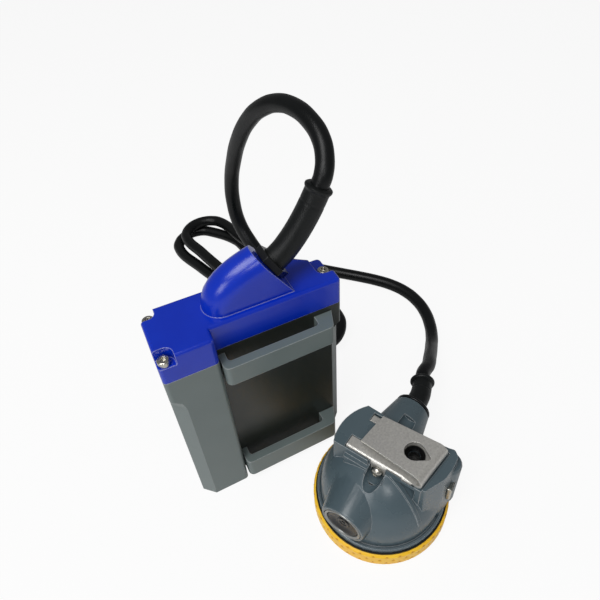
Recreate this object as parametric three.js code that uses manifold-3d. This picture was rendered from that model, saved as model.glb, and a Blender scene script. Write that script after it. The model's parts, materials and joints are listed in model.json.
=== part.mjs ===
// Corded miner's cap lamp: a battery box, its cord folded behind it, and the lamp head lying on its lens.
// Millimetres, +Z up. The origin is the middle of the battery box's underside, and the box's front is -Y.
import * as THREE from 'three';
import { mergeVertices } from 'three/addons/utils/BufferGeometryUtils.js';
import Module from 'manifold-3d';

const wasm = await Module();
wasm.setup();

// ---------------------------------------------------------------- Sizes

const gap = 0.3; // clearance between pieces that fit together
const reach = 200; // how far a cutting block goes past what it cuts

// Battery box
const cellLength = 65;
const besideCells = 25; // walls, holders, board and clearance beside the cells
const boxWidth = cellLength + besideCells;
const boxDepth = 31.5;
const caseHeight = 105;
const lidHeight = 15.5;
const boxWall = 2.4;
const caseFloor = 3;
const columnWidth = 25.2; // the part of the front that stands proud
const recessDepth = 7.5; // how far the rest of the front lies behind it
const edgeChamfer = 5.8;
const chamferTop = caseHeight - 14;
const chamferRun = 8; // height over which a chamfer fades out
const boxCorner = 2;
const lidEdge = 1.6;

// Belt loops on the front of the case
const loopProud = 3; // in front of the column
const loopLeftGap = 0.7; // between a loop and the column
const loopRightInset = 9.7; // from the box's right side
const loopFlare = 4;
const loopBar = 4.5;
const loopLeftLeg = 3.2;
const loopRightLeg = 5.6;
const loopCorner = 3;
const lowerLoop = { bottom: 5.3, top: 19 };
const upperLoop = { bottom: caseHeight - 14.9, top: caseHeight - 3 };

// Lid screws and the notches that they stand in
const screwHeadRadius = 2.75;
const screwHeadHeight = 3;
const screwRadius = 1.5;
const screwLength = 18;
const socketRadius = 1.4;
const socketDepth = 1.6;
const ledgeDepth = 6; // from the lid's top down to the face under a screw head
const leftScrewInset = 3.4;
const leftScrewEdge = 3.1;
const rightScrewInset = 3.3;
const rightScrewY = 4.5;
const notchWidth = 8;
const notchDepth = 6.2;
const notchCorner = 3.6;
const rightNotch = { width: 8, frontY: -1.2, backY: 11.05, cornerX: 14.4 };
const screwBoss = 4.2;
const bossDepth = 15;
const notchWall = 1.8;

// Seal in the seam, and the lid's locating rim
const gasketWidth = 1.0;
const gasketHeight = 1.2;
const rimWidth = 1.4;
const rimDepth = 2.5;
const rimRise = 2;
const foamRib = 1.8;

// Hood on the lid and the cord gland in it
const hoodHalfWidth = 9;
const hoodCentreY = 3.45;
const hoodSides = 20;
const hoodBarrel = 3; // how far the barrel's body reaches inwards from its middle line
const spineRun = 42.9; // the middle line is a quarter of an ellipse
const spineRise = 18.5;
const spineTopX = 32.7;
const hoodPeakX = 6.4;
const hoodRise = 24.5; // from the lid's top to the end face's upper edge
const hoodFootX = 22; // where the hood's end face meets the lid
const glandDrop = 15.35; // from the peak down the end face to the gland's centre
const glandY = 4.6;
const glandBore = 6.6;
const nutCorner = 9.4;
const nutThickness = 3.4;
const sleeveRadius = 6.1;
const sleeveTipRadius = 5.8;
const sleeveLip = 6.5;

// Cells and what holds them
const cellRadius = 9.15;
const cellPitch = 18.9;
const cellCount = 4;
const stripThickness = 0.4;
const stripWidth = 7;
const holderPlate = 1.2;
const holderDepth = 7;
const boardThickness = 1.6;
const boardHeight = 56;
const boardHalfWidth = 9;
const boardStandoff = 2;
const boardPegRadius = 1.8;
const boardPegInset = 6;
const boardParts = [[-4, 20, 8, 8, 5], [3, 14, 6, 5, 1.6], [3, 2, 5, 5, 1.4], [-3, -16, 9, 12, 4]];
const foamRoom = 24.9; // from the lid's inner face down to the foam's top

// Cord
const cordDiameter = 8.6;
const cordSides = 10;
const hankHalfWidth = 17.4;
const hankNear = [68, 82];
const hankFar = [28.6, 197];
const hankHeight = 18;

// Lamp head
const headX = 40.8;
const headY = -60.55;
const headTurn = 28.2; // degrees
const bezelRadius = 36.9;
const bezelHeight = 9.9;
const bezelLip = 2.2;
const bezelOpening = bezelRadius - 7.4;
const knurlCount = 34;
const knurlRows = [{ z: 2.3, step: 0 }, { z: 5.6, step: 0.5 }, { z: 9.1, step: 0 }];
const knurlRadius = 1.5;
const knurlDepth = 0.8;
const skirtRadius = bezelRadius - 4.5;
const lensThickness = 3;
const lensGasketThickness = 1.2;
const bezelGasketThickness = 1.0;
const bezelGasketRadius = bezelRadius - 1.3;
const flangeRadius = bezelRadius - 2.1;
const flangeThickness = 2.1;
const flangeGroove = 1.2;
const domeRadius = bezelRadius - 4;
const domeRise = 33.4;
const domeWall = 2.5;
const wingTop = 49.4;
const clipSeat = 48;

// Wings on the dome: one under the clip's tip, one beside its fold on a pillar
const wingRadius = 26;
const wingArc = [49, 113]; // degrees
const wingFront = -10.2;
const wingRear = 16.2;
const wingFoot = 34;
const lip = { left: -12.4, right: -8, near: 2.7, far: 17, top: 45.2 };
const halfMoon = [
  [-9, -19], [17, -19], [17.6, -26.4, 1], [18.4, -29.4, 2], [15.6, -32.4, 3], [8, -32.5, 10], [1.5, -31.6, 8],
  [-9.1, -26.3, 1],
];
const pillarFoot = 12;
const pillarSpread = 2.3;
const lobe = { x: 14.3, y: -29, radius: 6.5, top: 44.5 };
const pocketSide = [[-8.5, 45.5, 0.5], [-21.5, 45.5, 0.5], [-21.5, 27, 0.5]];
const pocketDepth = 4.7;
const ribStart = [-8.3, -7.5];
const ribEnd = [-12.8, -28.4];
const ribThickness = 2;
const ribProud = 1.2;
const contactHeight = 10;
const contactHalfWidth = 4;
const contactLeft = [-2.6, 24.9, 37];
const contactRight = [9.7, -33.3, 24];

// Light unit inside the head
const reflectorRadius = 22;
const reflectorThroat = 5;
const reflectorWall = 1.6;
const reflectorHeight = 21;
const ledRadius = 10;
const ledThickness = 1.6;
const sinkThickness = 4;
const driverThickness = 1.6;
const driverRadius = 13;
const driverStandoff = 2;

// Switch boss and what is in it
const bossY = 3.6;
const switchZ = 24;
const switchTipX = -34;
const switchTipRadius = 12.2;
const switchRootX = -16;
const switchRootRadius = 16.6;
const ringRadius = 10.5;
const ringBore = 8.9;
const ringThickness = 1.5;
const buttonRadius = 8.6;
const buttonFlange = 9.6;
const buttonFlangeThickness = 1.2;
const buttonDish = 1.4;
const buttonTravel = 1.5;
const stemRadius = 2.2;
const springSpace = 5;
const springRadius = 5;
const springWire = 0.5;
const springTurns = 3;
const switchFloor = 2.4;
const switchBodyRadius = 5.5;
const switchBodyLength = 4.5;

// Cord gland on the head
const glandZ = 30;
const glandTipX = 39.6;
const glandTipRadius = 10.25;
const glandRootX = 16;
const glandRootRadius = 15;
const glandPassage = 4.6;
const headNutRadius = 10.2;
const headNutThickness = 2.2;
const headSleeveRadius = 6.15;
const headCollarRadius = 7.2;

// Helmet clip: a base with rolled sides, a fold, and a tongue that slopes down over the base
const clipLeft = -9;
const clipRight = 14.8;
const clipSheet = 1.2;
const clipFoldY = -25.4;
const clipTipY = 10.9;
const clipRise = 9; // outside height of the fold
const tipRise = 4.7; // and of the tongue's tip
const foldTurn = -8; // degrees: the fold lies askew
const tongueFront = [[-10.3, -32], [-4.1, 11.5]]; // the tongue's two sides
const tongueRear = [[13.9, 9.2], [13, -32]];
const frontTab = { end: 17.6, width: 6.6 };
const rearTab = { end: 14.4, width: 4.8 };
const tabLength = 5;
const clipRollRadius = 1.8;
const clipSkirt = 3.4;
const keyhole = { x: 3.3, y: -14, radius: 5.2, tipX: 3.1, tipY: -21, tipRadius: 1.3 };
const baseHole = { x: 4.9, y: -13.8, radius: 3.2 };
const clipScrewY = -1.3;
const clipScrewZ = 43.6;
const clipScrewHead = 3.2;
const clipScrewDome = 2.6;
const clipScrewShank = 1.5;
const clipScrewDepth = 6;
const clipLugRadius = 4;

// ---------------------------------------------------------------- Solids

const weld = 1e-4; // corners closer than this are one corner

// A closed solid for joining and cutting, from any closed geometry.
function solid(geometry) {
  const bare = geometry.clone();
  bare.deleteAttribute('normal');
  bare.deleteAttribute('uv');
  const merged = mergeVertices(bare, weld);
  const place = merged.getAttribute('position');
  const corner = (i) => new THREE.Vector3().fromBufferAttribute(place, i);
  const triangles = [];
  let volume = 0;
  for (let i = 0; i < merged.index.count; i += 3) {
    const [a, b, c] = [0, 1, 2].map((k) => merged.index.getX(i + k));
    if (a === b || b === c || c === a) continue;
    triangles.push([a, b, c]);
    volume += corner(a).dot(corner(b).cross(corner(c)));
  }
  const turned = volume < 0 ? triangles.map(([a, b, c]) => [a, c, b]) : triangles;
  return new wasm.Manifold(new wasm.Mesh({
    numProp: 3,
    vertProperties: new Float32Array(place.array),
    triVerts: new Uint32Array(turned.flat()),
  }));
}

// The geometry of a solid.
function geometryOf(body) {
  const mesh = body.asOriginal().simplify(10 * weld).getMesh();
  const geometry = new THREE.BufferGeometry();
  geometry.setAttribute('position', new THREE.BufferAttribute(mesh.vertProperties, 3));
  geometry.setIndex(new THREE.BufferAttribute(mesh.triVerts, 1));
  geometry.computeVertexNormals();
  return geometry;
}

const join = (first, ...others) => others.reduce((body, other) => body.add(other), first);
const cut = (first, ...others) => others.reduce((body, other) => body.subtract(other), first);

// An outline through corners [x, y, radius], each rounded by an arc that touches both its sides.
function outline(corners) {
  const shape = new THREE.Shape();
  corners.forEach(([x, y, radius = 0], i) => {
    const here = new THREE.Vector2(x, y);
    const toLast = new THREE.Vector2(...corners.at(i - 1).slice(0, 2)).sub(here).normalize();
    const toNext = new THREE.Vector2(...corners[(i + 1) % corners.length].slice(0, 2)).sub(here).normalize();
    const half = Math.acos(THREE.MathUtils.clamp(toLast.dot(toNext), -1, 1)) / 2;
    const start = here.clone().addScaledVector(toLast, radius / Math.tan(half));
    if (i === 0) shape.moveTo(start.x, start.y);
    else shape.lineTo(start.x, start.y);
    if (radius === 0) return;
    const middle = toLast.clone().add(toNext).setLength(radius / Math.sin(half)).add(here);
    const end = here.clone().addScaledVector(toNext, radius / Math.tan(half));
    const turn = toLast.cross(toNext) > 0;
    shape.absarc(middle.x, middle.y, radius, start.sub(middle).angle(), end.sub(middle).angle(), turn);
  });
  shape.closePath();
  return shape;
}

const rectangle = (x0, y0, x1, y1, radius = 0) =>
  outline([[x0, y0, radius], [x1, y0, radius], [x1, y1, radius], [x0, y1, radius]]);

function disc(x, y, radius) {
  const shape = new THREE.Shape();
  shape.absarc(x, y, radius, 0, 2 * Math.PI, false);
  return shape;
}

// Pulls a shape from one level to another along Z, Y or X, with each arc in an even number of pieces.
function pulled(shape, from, to, arcPieces = 4) {
  const options = { depth: to - from, bevelEnabled: false, curveSegments: arcPieces / 2 };
  return new THREE.ExtrudeGeometry(shape, options).translate(0, 0, from);
}

const alongZ = (shape, z0, z1, arcPieces) => solid(pulled(shape, z0, z1, arcPieces));

function alongY(shape, y0, y1, arcPieces) { // the shape is drawn in X and Z
  return solid(pulled(shape, -y1, -y0, arcPieces).rotateX(Math.PI / 2));
}

function alongX(shape, x0, x1, arcPieces) { // the shape is drawn in Y and Z
  const turn = new THREE.Matrix4().makeBasis(
    new THREE.Vector3(0, 1, 0), new THREE.Vector3(0, 0, 1), new THREE.Vector3(1, 0, 0));
  return solid(pulled(shape, x0, x1, arcPieces).applyMatrix4(turn));
}

// A slab whose upper edge is rounded off.
function crownedSlab(shape, bottom, top, radius) {
  const options = {
    depth: top - bottom, bevelThickness: radius, bevelSize: radius, bevelOffset: -radius,
    bevelSegments: 3, curveSegments: 2,
  };
  const geometry = new THREE.ExtrudeGeometry(shape, options).translate(0, 0, bottom - radius);
  const below = rectangle(-reach, -reach, reach, reach);
  return cut(solid(geometry), alongZ(below, bottom - reach, bottom));
}

// Turns a profile of [radius, height] about Z.
function lathe(profile, segments = 48) {
  const points = profile.map(([r, z]) => new THREE.Vector2(r, z));
  const closed = points[0].x === 0 && points.at(-1).x === 0;
  if (!closed) points.push(points[0].clone());
  return new THREE.LatheGeometry(points, segments).rotateX(Math.PI / 2);
}

const turned = (profile, segments) => solid(lathe(profile, segments));
const cylinder = (radius, z0, z1, segments) =>
  turned([[0, z0], [radius, z0], [radius, z1], [0, z1]], segments);
const ringOf = (inner, outer, z0, z1, segments) =>
  turned([[inner, z0], [outer, z0], [outer, z1], [inner, z1]], segments);

// Moves a straight piece that was built along +Z so that it starts at a point and runs in a direction.
function aimed(geometry, point, direction) {
  const turn = new THREE.Quaternion().setFromUnitVectors(new THREE.Vector3(0, 0, 1), direction.clone().normalize());
  return geometry.applyQuaternion(turn).translate(point.x, point.y, point.z);
}

// Bends a straight piece that was built along +Z so that it follows a path that has no twist.
function bent(geometry, path, side) {
  const length = path.getLength();
  const place = geometry.getAttribute('position');
  for (let i = 0; i < place.count; i += 1) {
    const along = THREE.MathUtils.clamp(place.getZ(i) / length, 0, 1);
    const ahead = path.getTangentAt(along);
    const across = side.clone().addScaledVector(ahead, -side.dot(ahead)).normalize();
    const up = ahead.clone().cross(across);
    const point = path.getPointAt(along).addScaledVector(across, place.getX(i)).addScaledVector(up, place.getY(i));
    place.setXYZ(i, point.x, point.y, point.z);
  }
  return geometry;
}

// A round tube along a path.
function tube(path, radius, steps, sides) {
  const options = { steps, bevelEnabled: false, extrudePath: path, curveSegments: sides / 2 };
  return solid(new THREE.ExtrudeGeometry(disc(0, 0, radius), options));
}

// ---------------------------------------------------------------- Materials and nodes

const finish = (color, roughness, metalness = 0) => new THREE.MeshStandardMaterial({ color, roughness, metalness });
const finishes = {
  grey: finish(0x55636b, 0.45), blue: finish(0x0a1f9c, 0.3), yellow: finish(0xe8a81e, 0.45),
  rubber: finish(0x101213, 0.6), cord: finish(0x0c0d0e, 0.5), steel: finish(0xb9b7b0, 0.3, 1),
  cell: finish(0x2f6f9c, 0.4), white: finish(0xd8d8d2, 0.6), nickel: finish(0xc9c6bd, 0.3, 1),
  board: finish(0x1f5a34, 0.5), foam: finish(0x3a3a3c, 0.95), clear: finish(0xdfe8ec, 0.08),
  mirror: finish(0xe4e4e2, 0.08, 1), aluminium: finish(0xa9acb0, 0.4, 1), black: finish(0x131416, 0.4),
};

const lamp = new THREE.Group();
const battery = new THREE.Group();
const head = new THREE.Group();
head.position.set(headX, headY, 0);
head.rotation.z = THREE.MathUtils.degToRad(headTurn);
lamp.add(battery, head);

function add(group, name, body, material) {
  const mesh = new THREE.Mesh(geometryOf(body), material);
  mesh.name = name;
  group.add(mesh);
}

// ---------------------------------------------------------------- Battery box

const left = -boxWidth / 2;
const right = boxWidth / 2;
const front = -boxDepth / 2;
const back = boxDepth / 2;
const columnEdge = left + columnWidth;
const recessFace = front + recessDepth;
const lidTop = caseHeight + lidHeight;
const ledge = lidTop - ledgeDepth;

// The box's plan, drawn in by inset on every side. A chamfer takes off its two front corners.
function boxPlan(inset, chamfer = 0) {
  const cutBack = Math.max(chamfer - inset * (2 - Math.SQRT2), 0);
  const round = Math.max(boxCorner - inset, 0.4);
  const frontCorner = (x, y, side) => (cutBack === 0
    ? [[x, y, round]]
    : side < 0 ? [[x, y + cutBack, 0.5], [x + cutBack, y, 0.5]] : [[x - cutBack, y, 0.5], [x, y + cutBack, 0.5]]);
  return outline([
    [left + inset, back - inset, round],
    ...frontCorner(left + inset, front + inset, -1),
    [columnEdge - inset, front + inset, round],
    [columnEdge - inset, recessFace + inset, 0.5],
    ...frontCorner(right - inset, recessFace + inset, 1),
    [right - inset, back - inset, round],
  ]);
}

// The three screws' places, and the notch in the lid round each.
const screwSpots = [
  [left + leftScrewInset, front + leftScrewEdge],
  [left + leftScrewInset, back - leftScrewEdge],
  [right - rightScrewInset, rightScrewY],
];

function notches(grow) {
  const depth = notchDepth + grow;
  const width = notchWidth + grow;
  const corner = notchCorner + grow;
  const out = 5; // the notches run out past the box's sides
  const rn = rightNotch;
  const far = outline([
    [right + out, rn.frontY - grow],
    [right - rn.width - grow, rn.frontY - grow, corner],
    [right - rn.width - grow, rn.backY - grow * 0.4, 1],
    [right - rn.cornerX - grow, back - grow * 0.4],
    [right - rn.cornerX - grow, back + out],
    [right + out, back + out],
  ]);
  const nearLeft = outline([
    [left - out, front - out], [left + width, front - out],
    [left + width, front + depth, corner], [left - out, front + depth],
  ]);
  const snug = screwHeadRadius + 2 * gap + grow;
  const farLeft = outline([
    [left - out, back + out], [left - out, back - leftScrewEdge - snug],
    [left + leftScrewInset + snug, back - leftScrewEdge - snug, snug - gap], [left + leftScrewInset + snug, back + out],
  ]);
  return [nearLeft, farLeft, far];
}

const pillars = (radius, z0, z1) =>
  join(...screwSpots.map(([x, y]) => solid(lathe([[0, z0], [radius, z0], [radius, z1], [0, z1]], 20).translate(x, y, 0))));

// A block that takes off a front edge at 45 degrees and fades out at its top.
function chamferBlock(x, y, side) {
  const inward = edgeChamfer / Math.SQRT2;
  const profile = new THREE.Shape();
  profile.moveTo(-inward, -1);
  profile.lineTo(-inward, chamferTop - chamferRun);
  profile.bezierCurveTo(-inward, chamferTop - chamferRun / 3, -inward / 2, chamferTop, 0, chamferTop);
  profile.lineTo(boxCorner, chamferTop);
  profile.lineTo(boxCorner, -1);
  const out = new THREE.Vector3(side, -1, 0).normalize();
  const up = new THREE.Vector3(0, 0, 1);
  const turn = new THREE.Matrix4().makeBasis(out, up, out.clone().cross(up));
  const width = 2 * edgeChamfer;
  return solid(pulled(profile, -width, width, 5).applyMatrix4(turn).translate(x, y, 0));
}

// One belt loop: a bar on two legs, open behind. The right leg flares out where it meets the case.
function beltLoop({ bottom, top }) {
  const x0 = columnEdge + loopLeftGap;
  const x1 = right - loopRightInset;
  const y0 = front - loopProud;
  const root = recessFace + boxWall / 2;
  const inner = 1.8;
  return alongZ(outline([
    [x0, root], [x0, y0, loopCorner], [x1, y0, loopCorner], [x1 + loopFlare, recessFace, 0.5],
    [x1 + loopFlare, root], [x1 - loopRightLeg, root], [x1 - loopRightLeg, y0 + loopBar, inner],
    [x0 + loopLeftLeg, y0 + loopBar, inner], [x0 + loopLeftLeg, root],
  ]), bottom, top);
}

function batteryCase() {
  const outside = cut(
    alongZ(boxPlan(0), 0, caseHeight),
    chamferBlock(left, front, -1),
    chamferBlock(right, recessFace, 1),
  );
  const bossBottom = caseHeight - bossDepth;
  const cavity = cut(
    alongZ(boxPlan(boxWall, edgeChamfer), caseFloor, caseHeight + 1),
    pillars(screwBoss, bossBottom, caseHeight + 2),
  );
  const rebate = cut(
    alongZ(boxPlan(boxWall - gasketWidth - gap), caseHeight - gasketHeight, caseHeight + 1),
    pillars(screwBoss - gasketWidth - gap, bossBottom, caseHeight + 2),
  );
  const holes = pillars(screwRadius + gap, ledge - screwLength - gap, caseHeight + 1);
  return cut(join(outside, beltLoop(lowerLoop), beltLoop(upperLoop)), cavity, rebate, holes);
}

// The seal lies in the rebate along the inner edge of the case's rim, round the screws' bosses.
function lidGasket() {
  const z0 = caseHeight - gasketHeight;
  const outer = cut(
    alongZ(boxPlan(boxWall - gasketWidth), z0, caseHeight),
    pillars(screwBoss - gasketWidth, z0 - 1, caseHeight + 1),
  );
  const inner = cut(
    alongZ(boxPlan(boxWall), z0 - 1, caseHeight + 1),
    pillars(screwBoss, z0 - 2, caseHeight + 2),
  );
  return cut(outer, inner);
}

// The hood's end face leans back: from its upper edge it falls to the lid's top further along.
const hoodPeak = new THREE.Vector3(hoodPeakX, hoodCentreY, lidTop + hoodRise);
const hoodFoot = new THREE.Vector3(hoodFootX, hoodCentreY, lidTop);
const downFace = hoodFoot.clone().sub(hoodPeak).normalize();
const glandAxis = new THREE.Vector3(-downFace.z, 0, downFace.x);
const glandCentre = hoodPeak.clone().addScaledVector(downFace, glandDrop).setY(glandY);

// The middle line of the hood's barrel: out of the lid, then round a quarter of an ellipse.
class HoodSpine extends THREE.Curve {
  getPoint(t, target = new THREE.Vector3()) {
    const rootShare = 0.03;
    const a = (Math.PI / 2) * (Math.max(t - rootShare, 0) / (1 - rootShare));
    const below = (boxWall / 2) * Math.max(1 - t / rootShare, 0);
    return target.set(
      spineTopX - spineRun * Math.cos(a), hoodCentreY, lidTop + spineRise * Math.sin(a) - below);
  }
}

// A barrel that rises from its round nose, on upright walls, cut off by the end face.
function hood() {
  const base = lidTop - boxWall / 2;
  const wallHalf = hoodHalfWidth - 0.02; // the walls lie just inside the barrel's widest line
  const under = new THREE.Shape();
  under.moveTo(spineTopX - spineRun, base);
  under.lineTo(spineTopX, base);
  under.lineTo(spineTopX, lidTop + spineRise);
  under.absellipse(spineTopX, lidTop, spineRun, spineRise, Math.PI / 2, Math.PI, false);
  const round = new THREE.Shape();
  round.moveTo(-hoodHalfWidth, -hoodBarrel);
  round.lineTo(hoodHalfWidth, -hoodBarrel);
  round.absarc(0, 0, hoodHalfWidth, 0, Math.PI, false);
  round.closePath();
  const spine = new HoodSpine();
  const options = { steps: 17, depth: spine.getLength(), bevelEnabled: false, curveSegments: hoodSides / 2 };
  const barrel = bent(new THREE.ExtrudeGeometry(round, options), spine, new THREE.Vector3(0, 1, 0));
  const body = join(solid(barrel), alongY(under, hoodCentreY - wallHalf, hoodCentreY + wallHalf, 24));
  const pastFace = aimed(new THREE.BoxGeometry(reach, reach, reach).translate(0, 0, reach / 2), hoodPeak, glandAxis);
  return cut(body, solid(pastFace));
}

const packTop = caseFloor + holderPlate + (cellCount - 1) * cellPitch + 2 * cellRadius;
const foamTop = lidTop - boxWall - foamRoom;

function batteryLid() {
  const shell = join(crownedSlab(boxPlan(0), caseHeight, lidTop, lidEdge), hood());
  const rim = cut(
    alongZ(boxPlan(boxWall + gap, edgeChamfer), caseHeight - rimDepth, caseHeight + rimRise),
    pillars(screwBoss + gap, 0, lidTop),
  );
  const blocks = notches(notchWall).map((shape) => alongZ(shape, 0, lidTop));
  const low = cut(
    alongZ(boxPlan(boxWall + gap + rimWidth, edgeChamfer), caseHeight - rimDepth - 1, caseHeight + rimRise),
    pillars(screwBoss + gap + rimWidth, 0, lidTop),
    ...blocks,
  );
  const high = cut(
    alongZ(boxPlan(boxWall, edgeChamfer), caseHeight + rimRise, lidTop - boxWall),
    pillars(screwBoss, 0, lidTop),
    ...blocks,
  );
  const passage = aimed(lathe([[0, -28], [glandBore, -28], [glandBore, 5], [0, 5]], 24), glandCentre, glandAxis);
  const ribY = recessFace + boxWall + 2;
  const ribs = [-16, 30].map((x) => alongX(
    rectangle(ribY, foamTop, back - boxWall - 2, lidTop - boxWall / 2), x, x + foamRib));
  const notchCuts = notches(0).map((shape) => alongZ(shape, ledge, lidTop + 1));
  const hollow = cut(join(shell, rim), low, high);
  return cut(
    join(hollow, ...ribs),
    solid(passage),
    ...notchCuts,
    pillars(screwRadius + gap, caseHeight - 5, ledge + 1),
  );
}

// A socket cap screw, standing on the notch's floor.
function lidScrew([x, y]) {
  const head1 = ledge + screwHeadHeight;
  const profile = [
    [0, ledge - screwLength], [screwRadius, ledge - screwLength], [screwRadius, ledge],
    [screwHeadRadius, ledge], [screwHeadRadius, head1 - 0.4], [screwHeadRadius - 0.4, head1], [0, head1],
  ];
  const body = solid(lathe(profile, 20).translate(x, y, 0));
  const socket = new THREE.CylinderGeometry(socketRadius, socketRadius, 2 * socketDepth, 6)
    .rotateX(Math.PI / 2).translate(x, y, head1);
  return cut(body, solid(socket));
}

// Four cells lie side by side from left to right, one above the other, between two holders.
const chamferInside = edgeChamfer - boxWall * (2 - Math.SQRT2);
const cellRight = right - boxWall - chamferInside - gap - holderPlate - stripThickness;
const cellLeft = cellRight - cellLength;
const cellY = (recessFace + back) / 2;
const cellZ = (i) => caseFloor + holderPlate + cellRadius + i * cellPitch;

function cell(i) {
  const nub = 1;
  const profile = [
    [0, 0], [cellRadius, 0], [cellRadius, cellLength - nub], [cellRadius - 1, cellLength - nub],
    [3, cellLength - nub], [3, cellLength], [0, cellLength],
  ];
  return solid(aimed(lathe(profile, 16), new THREE.Vector3(cellLeft, cellY, cellZ(i)), new THREE.Vector3(1, 0, 0)));
}

function cellHolder(side) {
  const face = side > 0 ? cellRight : cellLeft;
  const plateX = face + side * stripThickness;
  const halfDepth = back - boxWall - gap - cellY;
  const outer = plateX + side * holderPlate;
  const inner = face - side * holderDepth;
  const block = alongX(
    rectangle(cellY - halfDepth, caseFloor, cellY + halfDepth, packTop + holderPlate, 1),
    Math.min(inner, outer), Math.max(inner, outer));
  const pockets = Array.from({ length: cellCount }, (_, i) => alongX(
    disc(cellY, cellZ(i), cellRadius + gap), Math.min(inner - side, plateX), Math.max(inner - side, plateX), 16));
  const channel = alongX(
    rectangle(cellY - stripWidth / 2 - gap, cellZ(0) - stripWidth, cellY + stripWidth / 2 + gap,
      cellZ(cellCount - 1) + stripWidth),
    Math.min(inner - side, plateX), Math.max(inner - side, plateX));
  const body = cut(block, ...pockets, channel);
  if (side > 0) return body;
  const pegs = boardPegs().map(([y, z]) => alongX(
    disc(y, z, boardPegRadius), outer - boardStandoff, outer + holderPlate / 2, 8));
  return join(body, ...pegs);
}

const boardFace = cellLeft - stripThickness - holderPlate - boardStandoff;
const boardZ = cellZ((cellCount - 1) / 2);
const boardPegs = () => [-1, 1].flatMap((a) => [-1, 1].map((b) =>
  [cellY + a * boardPegInset, boardZ + b * (boardHeight / 2 - boardPegInset)]));

function cellStrip(side) {
  const face = side > 0 ? cellRight : cellLeft - stripThickness;
  const half = stripWidth / 2;
  return alongX(rectangle(cellY - half, cellZ(0) - half, cellY + half, cellZ(cellCount - 1) + half, 1),
    face, face + stripThickness);
}

// The board with its connector, relay and two chips on the column's side.
function protectionBoard() {
  const board = alongX(
    rectangle(cellY - boardHalfWidth, boardZ - boardHeight / 2, cellY + boardHalfWidth, boardZ + boardHeight / 2, 1),
    boardFace - boardThickness, boardFace);
  const face = boardFace - boardThickness;
  return join(board, ...boardParts.map(([y, z, width, height, thick]) => alongX(
    rectangle(cellY + y - width / 2, boardZ + z - height / 2, cellY + y + width / 2, boardZ + z + height / 2),
    face - thick, face + boardThickness / 2)));
}

function foamPad() {
  const y0 = recessFace + boxWall + 2 * gap;
  return alongZ(rectangle(cellLeft, y0, cellRight, back - boxWall - 2 * gap, 1), packTop + holderPlate, foamTop);
}

function hexNut(corner, bore, thickness) {
  const body = new THREE.CylinderGeometry(corner, corner, thickness, 6).rotateX(Math.PI / 2);
  return cut(solid(body), cylinder(bore, -thickness, thickness, 24));
}

add(battery, 'battery_case', batteryCase(), finishes.grey);
add(battery, 'battery_lid', batteryLid(), finishes.blue);
add(battery, 'lid_gasket', lidGasket(), finishes.rubber);
screwSpots.forEach((spot, i) => add(battery, `lid_screw_${i + 1}`, lidScrew(spot), finishes.steel));
for (let i = 0; i < cellCount; i += 1) add(battery, `cell_${i + 1}`, cell(i), finishes.cell);
add(battery, 'cell_holder_left', cellHolder(-1), finishes.white);
add(battery, 'cell_holder_right', cellHolder(1), finishes.white);
add(battery, 'cell_strip_left', cellStrip(-1), finishes.nickel);
add(battery, 'cell_strip_right', cellStrip(1), finishes.nickel);
add(battery, 'protection_board', protectionBoard(), finishes.board);
add(battery, 'foam_pad', foamPad(), finishes.foam);

// ---------------------------------------------------------------- Sleeve and nut on the battery

// The sleeve stands straight in the gland, then bends up: distances along and above the gland's centre.
const sleeveRoot = [-14, -7, 0].map((d) => glandCentre.clone().addScaledVector(glandAxis, gap + d));
const sleeveBend = [[4, 2.5], [8.9, 6.5], [14.9, 13.4], [20.7, 21.9], [25.4, 30.4], [27, 33.5]];
const sleevePath = new THREE.CatmullRomCurve3([
  ...sleeveRoot,
  ...sleeveBend.map(([x, z]) => glandCentre.clone().add(new THREE.Vector3(x, 0, z))),
]);

// A rubber sleeve that tapers a little and ends in a rolled lip.
function sleeve(path, root, tip, lip, side) {
  const length = path.getLength();
  const lipStart = length - 3;
  const steps = 9;
  const profile = [[0, 0], [root, 0]];
  for (let i = 1; i < steps; i += 1) profile.push([root + ((tip - root) * i) / steps, (lipStart * i) / steps]);
  profile.push([tip, lipStart], [tip + 0.1, lipStart + 1], [lip, lipStart + 1.7], [lip, length - 0.6],
    [lip - 0.7, length], [0, length]);
  return solid(bent(lathe(profile, 14), path, side));
}

const nutMiddle = glandCentre.clone().addScaledVector(glandAxis, gap + nutThickness / 2);
const nut = geometryOf(hexNut(nutCorner, sleeveRadius + gap, nutThickness));
add(battery, 'battery_gland_nut', solid(aimed(nut, nutMiddle, glandAxis)), finishes.black);
add(battery, 'battery_strain_relief',
  sleeve(sleevePath, sleeveRadius, sleeveTipRadius, sleeveLip, new THREE.Vector3(0, 1, 0)), finishes.rubber);

// ---------------------------------------------------------------- Cord

const points = (list) => list.map(([x, y, z]) => new THREE.Vector3(x, y, z));
const cordRadius = cordDiameter / 2;

// A point straight ahead of a path's end, where the cord comes out of a sleeve.
const beyond = (path, distance) => path.getPointAt(1).addScaledVector(path.getTangentAt(1), distance);

// From the battery's sleeve up, over the back and down to the hank.
const loopPath = new THREE.CatmullRomCurve3([beyond(sleevePath, gap), beyond(sleevePath, 5), ...points([
  [47.3, 10.4, 175.4], [48.8, 16.8, 180.3], [48.6, 25.5, 184], [46.5, 37.7, 185.9], [43.1, 47.5, 184.7],
  [38.9, 57.9, 179.2], [35.3, 69.1, 169], [32.5, 81.6, 153], [31.2, 92.1, 136], [29.9, 98.6, 119.6],
  [29, 99.6, 104.6], [29.3, 95.4, 91], [32.3, 86.6, 79.5], [37.2, 78, 68.5], [42.3, 72, 57.5], [46.2, 70.5, 46],
  [48.5, 73.6, 35.5], [48.7, 80.6, 27.3], [47.7, 88.8, 21.8],
])]);

add(lamp, 'cord_loop', tube(loopPath, cordRadius, 20, cordSides), finishes.cord);

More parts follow.
